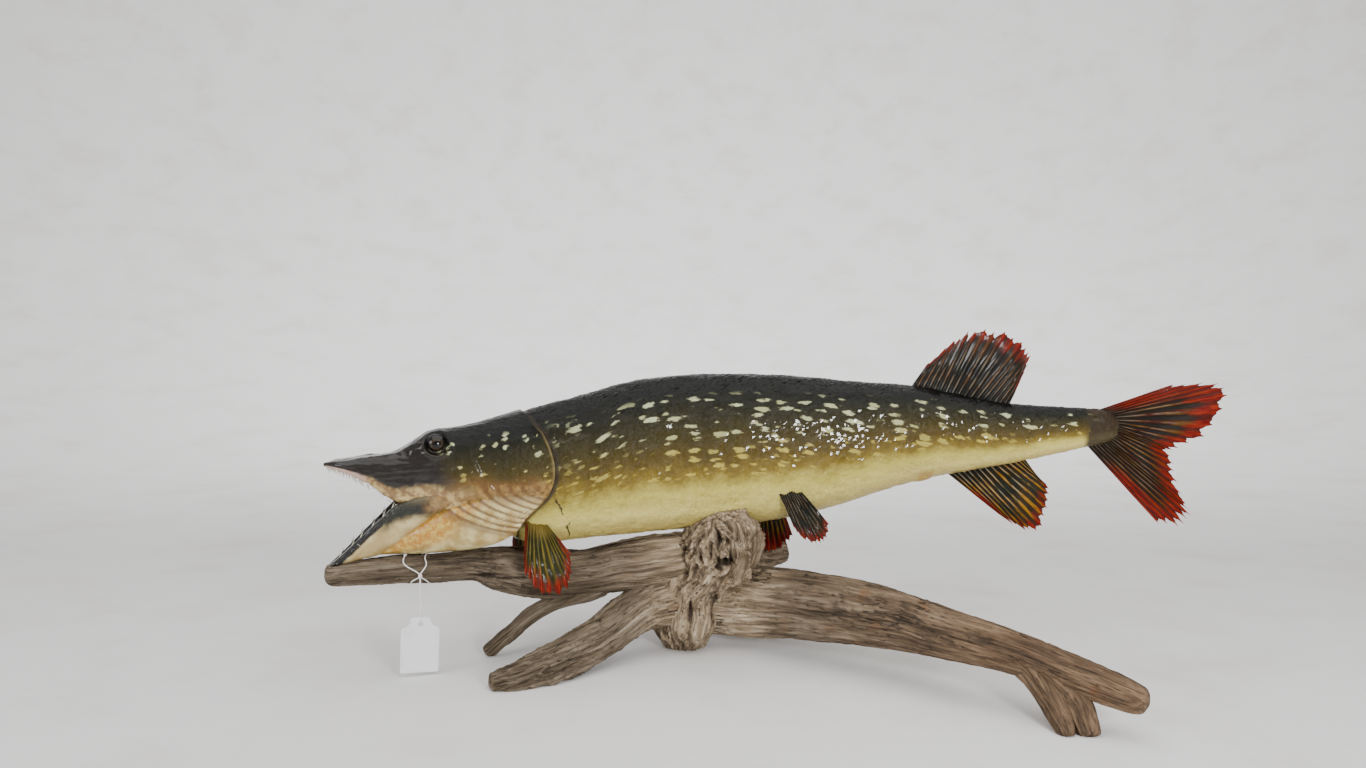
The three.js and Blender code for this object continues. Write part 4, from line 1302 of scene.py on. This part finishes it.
# Painted shade in the carved dents and hollows, darker the deeper they lie.
tone = timber.mix(0.9 * timber.step(deep, 0.8, 4.5), tone, (0.04, 0.027, 0.018))
relief = 0.5 * strand + 0.35 * hair + 0.5 * sweep - 0.7 * crack
timber.done(tone, 0.62 + 0.25 * hair, relief, 0.0016, Specular_IOR_Level=0.3)
for obj in wood:
    obj.data.materials.append(timber.material)

# %% [markdown]
# ## Painted and lacquered skin
#
# Colours follow the body's own coordinates, because a pattern on plain ones would ignore the bend: lx is how
# far along, lg how far round from the back, and lh how high from 0 at the belly to 1 at the back. The back
# is nearly black, the side runs from olive to gold and the belly is cream. Rows of pale dashes are cells of
# a stretched Voronoi pattern, each with its own size. A clear coat over the faceted scales makes the lacquer
# glitter; it is thicker on the snout and thinner along the back.


# %% Pale spots
def spots(finish, along_x, round_g, size, seed, share, wobble):
    """Pale dashes where a bent place lies near its cell's centre; share is the filled part of a cell.

    Gives the dashes and a random tint for each cell. size is a cell's length and height in metres.
    """
    cells = finish.vector(along_x / size[0], round_g / size[1], seed)
    cloud = finish.node("ShaderNodeTexNoise", "Color", Vector=cells, Scale=1.8, Detail=4.0, Roughness=0.7)
    shift = finish.node("ShaderNodeVectorMath", "Vector", {"operation": "SCALE"}, _0=cloud, Scale=wobble)
    bent = finish.node("ShaderNodeVectorMath", "Vector", {"operation": "ADD"}, _0=cells, _1=shift)
    voronoi = {"voronoi_dimensions": "3D", "feature": "F1"}
    fed = {"Vector": bent, "Scale": 1.0, "Randomness": 0.62}
    gap = finish.node("ShaderNodeTexVoronoi", "Distance", voronoi, **fed)
    pick = finish.parts(finish.node("ShaderNodeTexVoronoi", "Color", voronoi, **fed))
    reach = share * (0.55 + 0.75 * pick[0])
    return 1 - finish.step(gap, reach - 0.07, reach + 0.05), pick[1]


def marks_on(paint, lx, lg, lh):
    """Where a pale mark lies, and its colour: long dashes, small flecks low down, beads on the cheek."""
    dashes, tint = spots(paint, lx, lg, (0.0205, 0.0074), 0.0, 0.262, 0.9)
    flecks, pick = spots(paint, lx, lg, (0.0125, 0.0062), 3.1, 0.235, 0.9)
    beads, _ = spots(paint, lx, lg, (0.0084, 0.0062), 7.3, 0.3, 0.95)
    low = paint.step(lh, 0.62, 0.5) * paint.step(pick, 0.2, 0.5)
    side = 1 - (1 - dashes) * (1 - 0.75 * flecks * low)
    marks = side + paint.step(lx, -0.095, -0.13) * (beads - side)
    band = paint.step(lh, 0.9, 0.84) * paint.step(lh, 0.31, 0.4) * paint.step(lx, -0.218, -0.2)
    pale = paint.mix(paint.step(lh, 0.68, 0.5), (0.5, 0.53, 0.32), (0.46, 0.36, 0.06))
    return marks * band, paint.mix(0.55 * tint, pale, (0.27, 0.25, 0.07))


# %% Folds and cracks
def two_tone(paint, mottle, low, high, first, second):
    """The first colour where the noise is under low, the second where it is above high."""
    return paint.mix(paint.step(mottle, low, high), first, second)


def membrane(paint, gap, fold):
    """The pleated membrane: pearl, amber higher up, gold far from the edge, and brown painted shade in the
    grooves.

    gap is the distance to the cover's free edge in metres, and fold is the pleats' height in mm.
    """
    here = paint.object_place()
    x, _, z = paint.parts(here)
    cloud = paint.noise(here, 60, 3) - 0.5
    mottle = paint.noise(here, 240, 4, 0.6)
    pearl = paint.mix(paint.step(cloud, -0.12, 0.12), (0.36, 0.24, 0.07), (0.6, 0.5, 0.23))
    amber = two_tone(paint, mottle, 0.35, 0.65, (0.1, 0.045, 0.01), (0.26, 0.14, 0.035))
    gold = two_tone(paint, mottle, 0.4, 0.65, (0.42, 0.19, 0.022), (0.54, 0.38, 0.09))
    colour = paint.mix(paint.step(gap + 0.03 * cloud, 0.04, 0.06), pearl, gold)
    colour = paint.mix(0.9 * paint.step(z + 0.02 * cloud, 0.137, 0.152), colour, amber)
    across, up = FAN_FLAT * (x - FAN_CENTRE[0] * MM), z - FAN_CENTRE[1] * MM
    away = paint.math("SQRT", across**2 + up**2)
    # Painted shade: brown in the grooves between the pleats, where the fold is low.
    groove = paint.step(away, 0.05, 0.043) * paint.step(away, 0.005, 0.01) * paint.step(fold, 0.65, 0.1)
    return paint.mix(0.8 * groove, colour, (0.11, 0.05, 0.015))


def split(paint, where, lean, low, high):
    """A crack's painted shade, dark from height low to high: near a leaning line that noise makes wander."""
    here = paint.object_place()
    x, _, z = paint.parts(here)
    off = paint.math("ABSOLUTE", x - where - lean * (z - low) + 0.008 * (paint.noise(here, 130, 3) - 0.5))
    ends = paint.step(z, low - 0.002, low + 0.002) * paint.step(z, high + 0.002, high - 0.002)
    return paint.step(off, 0.0011, 0.0004) * ends


# %% Skin finish
# Each crack's place along, its lean, and the two heights that it runs between.
CRACKS = ((-0.104, -0.36, 0.13, 0.144), (-0.1015, 0.16, 0.109, 0.123))


def fish_finish():
    """The material that the skin and the scales share."""
    paint = Finish("lacquered_skin")
    lx, lg, lh = paint.parts(paint.attribute("lie"))
    inner, past, fold = paint.parts(paint.attribute("inner"))
    here = paint.object_place()
    cloud = paint.noise(here, 38, 3) - 0.5
    mottle = paint.noise(here, 160, 4, 0.6)
    head = paint.step(lx, -0.11, -0.16)
    level = lh + 0.17 * cloud + 0.1 * (mottle - 0.5) + 0.05 * head
    colour = paint.ramp(
        level,
        (0.0, (0.44, 0.33, 0.1)), (0.16, (0.59, 0.51, 0.15)), (0.28, (0.47, 0.4, 0.08)),
        (0.38, (0.17, 0.115, 0.011)), (0.49, (0.075, 0.048, 0.0035)), (0.6, (0.042, 0.03, 0.003)),
        (0.72, (0.022, 0.018, 0.004)), (0.83, (0.008, 0.008, 0.003)), (0.92, (0.0035, 0.0035, 0.003)),
    )  # fmt: skip
    marks, pale = marks_on(paint, lx, lg, lh)
    vein = paint.math("ABSOLUTE", paint.noise(paint.vector(lx, lg * 1.5, 0.0), 62, 5, 0.65) - 0.5)
    vein = paint.step(vein, 0.013, 0.003) * paint.step(lh, 0.32, 0.2) * paint.step(cloud, -0.06, 0.06)
    colour = paint.mix(0.45 * vein * paint.step(lx, -0.12, -0.08), colour, (0.14, 0.085, 0.025))
    rim = paint.step(past, -0.0028, -0.0008) * paint.step(past, 0.0004, -0.0004) * paint.step(lh, 0.95, 0.7)
    brown = two_tone(paint, mottle, 0.35, 0.65, (0.08, 0.038, 0.008), (0.2, 0.105, 0.028))
    cheek = paint.step(lx, -0.155, -0.19) * paint.step(lh + 0.2 * cloud, 0.54, 0.4)
    colour = paint.mix(0.85 * cheek, colour, brown)
    colour = paint.mix(0.92 * marks, colour, pale)
    colour = paint.mix(0.45 * rim, colour, (0.26, 0.19, 0.07))
    # Painted shadow: a dark band just behind the cover's free edge, where the cover overhangs the shoulder.
    slit_shade = paint.step(past, -0.0002, 0.0005) * paint.step(past, 0.0062, 0.0012) * paint.step(lx, -0.1, -0.115)
    colour = paint.mix(0.92 * slit_shade, colour, (0.02, 0.012, 0.006))
    fan = paint.step(past, 0.0, -0.001) * paint.step(past, -0.066, -0.05)
    fan = fan * paint.step(paint.parts(here)[2] + 0.012 * cloud, 0.165, 0.155)
    colour = paint.mix(fan, colour, membrane(paint, 0 - past, fold))
    vent = paint.step(paint.math("ABSOLUTE", lx - 0.212) + 0.006 * cloud, 0.009, 0.005)
    colour = paint.mix(0.8 * vent * paint.step(lh, 0.14, 0.08), colour, (0.4, 0.24, 0.05))
    tail_root = paint.step(lx + 0.008 * cloud, 0.353, 0.36)
    colour = paint.mix(0.95 * tail_root, colour, paint.mix(mottle, (0.006, 0.004, 0.003), (0.05, 0.03, 0.014)))
    # Painted shade in the two cracks behind the pectoral fin.
    for crack in CRACKS:
        colour = paint.mix(0.9 * split(paint, *crack), colour, (0.012, 0.008, 0.005))
    snout = paint.step(lx + 0.04 * cloud + 0.05 * (lh - 0.6), -0.19, -0.222)
    lip = lh + 0.3 * cloud - 0.7 * (lx + 0.245)
    dark = paint.step(lip, 0.3, 0.42)
    tan = two_tone(paint, mottle, 0.4, 0.6, (0.5, 0.36, 0.15), (0.22, 0.13, 0.05))
    pink = paint.mix(mottle, (0.42, 0.2, 0.15), (0.62, 0.5, 0.42))
    tan = paint.mix(paint.step(lx, -0.262, -0.272), tan, pink)
    colour = paint.mix(snout, colour, paint.mix(dark, tan, (0.009, 0.006, 0.004)))
    mouth = paint.mix(mottle, (0.3, 0.17, 0.12), (0.5, 0.33, 0.22))
    colour = paint.mix(paint.step(inner, 0.25, 0.6), colour, mouth)
    wrinkle = paint.noise(here, 300, 4, 0.6)
    crease = paint.noise(paint.vector(lx, lg * 0.6, 0.0), 230, 3)
    flow = paint.noise(here, 90, 3)
    relief = 0.6 * wrinkle + 0.55 * crease + 0.9 * flow
    lacquer = 0.36 - 0.2 * paint.step(lh, 0.72, 0.86) + 0.5 * snout
    return paint.done(
        colour, 0.24 + 0.15 * mottle, relief, 0.0015,
        Specular_IOR_Level=0.12, Coat_Weight=lacquer, Coat_Roughness=0.04,
    )  # fmt: skip


fish_skin = fish_finish()
for obj in (skin, *coat):
    obj.data.materials.append(fish_skin)


# %% Jaw and throat finishes
def jaw_finish():
    """Cream side, black gum along the rim and a dark patch at the corner; lg is the depth below the rim."""
    paint = Finish("jaw_skin")
    lx, lg, lh = paint.parts(paint.attribute("lie"))
    inner, _, _ = paint.parts(paint.attribute("inner"))
    here = paint.object_place()
    cloud = paint.noise(here, 70, 3) - 0.5
    mottle = paint.noise(here, 260, 4, 0.6)
    side = paint.mix(paint.step(cloud, -0.1, 0.15), (0.42, 0.31, 0.13), (0.56, 0.46, 0.23))
    side = paint.mix(paint.step(lh, 0.25, 0.0) * 0.7, side, (0.5, 0.3, 0.08))
    gum = paint.step(lg + 0.004 * cloud, 0.0085, 0.0065)
    tip = paint.step(lx, -0.277, -0.288)
    corner = paint.step(lx + 0.02 * cloud, -0.262, -0.248) * paint.step(lx + 0.03 * cloud, -0.2, -0.22)
    reach = 0.014 + 0.16 * (lx + 0.245)
    corner = corner * paint.step(lg + 0.012 * cloud - reach, 0.004, -0.004)
    gum = gum * paint.step(lx, -0.236, -0.246)
    dark = 1 - (1 - gum) * (1 - tip) * (1 - corner)
    rubbed = paint.step(lg, 0.009, 0.002) * paint.step(lx, -0.242, -0.225)
    faded = paint.mix(rubbed, (0.014, 0.015, 0.01), (0.1, 0.085, 0.045))
    colour = paint.mix(dark, side, paint.mix(corner, (0.008, 0.007, 0.006), faded))
    # Painted glints: pale grey flecks on the black gum.
    colour = paint.mix(paint.step(mottle, 0.6, 0.66) * gum * 0.5, colour, (0.4, 0.38, 0.34))
    folded = paint.step(lx + 0.03 * cloud, -0.229, -0.206)
    brown = two_tone(paint, mottle, 0.35, 0.65, (0.14, 0.065, 0.014), (0.28, 0.15, 0.04))
    colour = paint.mix(0.9 * folded * paint.step(lh + 0.5 * cloud, -0.1, 0.5), colour, brown)
    lining = paint.mix(mottle, (0.32, 0.16, 0.12), (0.55, 0.36, 0.26))
    colour = paint.mix(paint.step(inner, 0.3, 0.65), colour, lining)
    relief = 0.5 * paint.noise(here, 380, 4, 0.6) + 0.6 * paint.noise(here, 110, 2)
    return paint.done(
        colour, 0.12 + 0.12 * mottle, relief, 0.0016,
        Specular_IOR_Level=0.3, Coat_Weight=0.4, Coat_Roughness=0.04,
    )  # fmt: skip


def throat_finish():
    """Pearly pleats near the free edge, orange gold towards the chin, brown painted shade in the grooves."""
    paint = Finish("throat_skin")
    _, gap, fold = paint.parts(paint.attribute("lie"))
    here = paint.object_place()
    colour = membrane(paint, gap, fold)
    mottle = paint.noise(here, 240, 4, 0.6)
    relief = 0.6 * paint.noise(here, 260, 4, 0.6) + 0.7 * paint.noise(here, 100, 3)
    return paint.done(
        colour, 0.12 + 0.12 * mottle, relief, 0.0018,
        Specular_IOR_Level=0.35, Coat_Weight=0.45, Coat_Roughness=0.05,
    )  # fmt: skip


jaw.data.materials.append(jaw_finish())
throat.data.materials.append(throat_finish())

# %% [markdown]
# ## Mouth, teeth and eyes
#
# The mouth is wet and pink, so a strong clear coat lies over veined colour. Old teeth are stained ivory. The
# eye's disc is one ramp from the middle out: a black pupil, a narrow gold ring and a brown iris that
# darkens to the rim.

# %% Mouth, tooth and eye finishes
lining = Finish("mouth_lining")
here = lining.object_place()
vein = lining.noise(here, 190, 4)
lining.done(
    lining.mix(vein, (0.36, 0.17, 0.13), (0.6, 0.38, 0.3)), 0.25 + 0.15 * vein, vein, 0.0006, Coat_Weight=0.8
)
tongue.data.materials.append(lining.material)

enamel = Finish("tooth")
here = enamel.object_place()
stain = enamel.noise(here, 300, 2)
ivory = enamel.mix(stain, (0.36, 0.3, 0.2), (0.58, 0.54, 0.45))
enamel.done(ivory, 0.25 + 0.1 * stain, stain, 0.0001, Coat_Weight=0.6)
teeth.data.materials.append(enamel.material)

iris = Finish("glass_eye")
disc, _, _ = iris.parts(iris.attribute("lie"))
here = iris.object_place()
fleck = iris.noise(here, 900, 3)
ring = iris.ramp(
    disc + 0.08 * (fleck - 0.5),
    (0.36, (0.002, 0.002, 0.002)), (0.42, (0.035, 0.018, 0.006)), (0.55, (0.014, 0.008, 0.004)),
    (0.72, (0.008, 0.006, 0.004)), (0.85, (0.004, 0.003, 0.003)),
)  # fmt: skip
iris.done(ring, 0.04 + 0.03 * fleck, Specular_IOR_Level=0.4)
for obj in eyes:
    obj.data.materials.append(iris.material)

# %% [markdown]
# ## Painted fins
#
# Each ray is a ridge in a yellow or olive web colour with a darker colour in the grooves beside it, and a pale
# line along its crest near the root is a painted highlight. The colour turns red towards the frayed edge.
# Stripes on plain coordinates wouldn't spread with the rays, so the finish reads the number of the ray, the
# distance from the root, and the share of the way across the blade.


# %% Fin finishes
def fin_finish(name, base, webs, ray, start, rims, line):
    """Web colours on ridges, ray colour in grooves, a painted highlight on each crest near the root, red tips
    from start on.

    rims says from where outwards the first and the last edge of the blade are red.
    """
    paint = Finish(name)
    beat, out, share = paint.parts(paint.attribute("fan"))
    streak = paint.noise(paint.vector(beat * 0.9, out * 2.2, 0.0), 1.6, 4, 0.65)
    fine = paint.noise(paint.vector(beat * 4.0, out * 5.0, 1.0), 1.5, 3)
    ridge = 0.5 + 0.5 * paint.math("COSINE", beat * (2 * math.pi))
    colour = paint.mix(paint.step(streak, 0.42, 0.58), *webs)
    # The ray colour goes into the grooves between the ridges.
    colour = paint.mix(0.94 * paint.step(ridge + 0.6 * (fine - 0.5), 0.78, 0.5), colour, ray)
    colour = paint.mix(paint.step(out + 0.35 * (streak - 0.5), 0.34, 0.1), colour, base)
    # Painted highlight: a pale line along each ridge's crest near the root, as strong as line.
    pale = paint.step(ridge, 0.84, 0.96) * paint.step(fine, 0.42, 0.56) * paint.step(out, 0.75, 0.5)
    colour = paint.mix(line * pale, colour, (0.42, 0.38, 0.28))
    red = paint.step(out + 0.6 * (streak - 0.5), start, start + 0.2)
    edge = share + 0.05 * (fine - 0.5)
    first = paint.step(edge, 0.2, 0.08) * paint.step(out, rims[0], rims[0] + 0.25)
    last = paint.step(edge, 0.88, 0.95) * paint.step(out, rims[1], rims[1] + 0.25)
    hot = paint.mix(paint.step(fine, 0.4, 0.65), *FIRE)
    hot = paint.mix(0.6 * paint.step(ridge, 0.5, 0.2), hot, ray)
    colour = paint.mix(1 - (1 - red) * (1 - first) * (1 - last), colour, hot)
    relief = ridge * 0.6 + 0.6 * fine
    return paint.done(
        colour, 0.34 + 0.15 * fine, relief, 0.0006,
        Specular_IOR_Level=0.1, Coat_Weight=0.06, Coat_Roughness=0.06,
    )  # fmt: skip


BLACK, OLIVE, YELLOW = (0.005, 0.005, 0.0035), (0.045, 0.04, 0.005), (0.24, 0.11, 0.004)
RUST, EMBER, AMBER = (0.06, 0.022, 0.004), (0.04, 0.007, 0.002), (0.08, 0.032, 0.002)
MOSS, DARK_MOSS, GOLD = (0.12, 0.09, 0.008), (0.02, 0.022, 0.008), (0.17, 0.12, 0.02)
UMBER, BARK, SOOT = (0.06, 0.035, 0.014), (0.014, 0.014, 0.004), (0.02, 0.015, 0.01)
SMOKE, MUD = (0.015, 0.009, 0.005), (0.03, 0.03, 0.01)
FIRE = ((0.11, 0.003, 0.002), (0.24, 0.018, 0.003))
finishes = {
    "dorsal": fin_finish("dorsal_fin", BLACK, (RUST, BLACK), BLACK, 0.74, (0.7, 0.5), 0.2),
    "anal": fin_finish("anal_fin", BLACK, (YELLOW, DARK_MOSS), BLACK, 0.76, (0.35, 0.8), 0.4),
    "tail": fin_finish("tail_fin", SMOKE, (AMBER, EMBER), BLACK, 0.62, (0.05, 0.2), 0.2),
    "pectoral": fin_finish("pectoral_fin", GOLD, (OLIVE, MOSS), BARK, 0.66, (0.05, 0.3), 0.1),
    "pelvic_left": fin_finish("pelvic_fin", SOOT, (UMBER, BLACK), BLACK, 0.74, (0.85, 0.7), 0.2),
    "pelvic_right": fin_finish("pelvic_fin_right", MUD, (YELLOW, OLIVE), BLACK, 0.6, (0.5, 0.3), 0.2),
}
for name, obj in fins.items():
    obj.data.materials.append(finishes.get(name) or finishes[name.split("_")[0]])

# %% [markdown]
# ## Floor and finish
#
# A flat floor would meet the background in a hard line. A studio hangs a cloth that curves up behind the
# table, and here the pale floor is a wide bowl: flat in the middle, a quarter circle, then a wall.

# %% Floor
FLAT_REACH, CURVE = 1.5, 2.6
turn = around(96)[None]
rise = np.linspace(0, math.pi / 2, 24)
reach = np.concatenate([[0.0, 0.9], FLAT_REACH + CURVE * np.sin(rise), [FLAT_REACH + CURVE]])[:, None]
climb = np.concatenate([[0.0, 0.0], CURVE - CURVE * np.cos(rise), [CURVE + 1]])[:, None]
bowl = np.stack([reach * np.cos(turn), reach * np.sin(turn), climb + 0 * turn], -1)
floor = surface("floor", bowl, tube_faces(*bowl.shape[:2]).tolist())
cloth = Finish("pale_floor")
here = cloth.object_place()
stain = cloth.step(cloth.noise(here, 7, 5, 0.6), 0.45, 0.75)
cloth.done(cloth.mix(0.5 * stain, (0.78, 0.77, 0.765), (0.62, 0.595, 0.575)), 0.8)
floor.data.materials.append(cloth.material)

# %% Soft light from all sides
world = bpy.data.worlds.new("tent")
bpy.context.scene.world = world
world.use_nodes = True
glow = world.node_tree.nodes["Background"]
glow.inputs["Color"].default_value = (1, 0.995, 0.98, 1)
glow.inputs["Strength"].default_value = 0.55
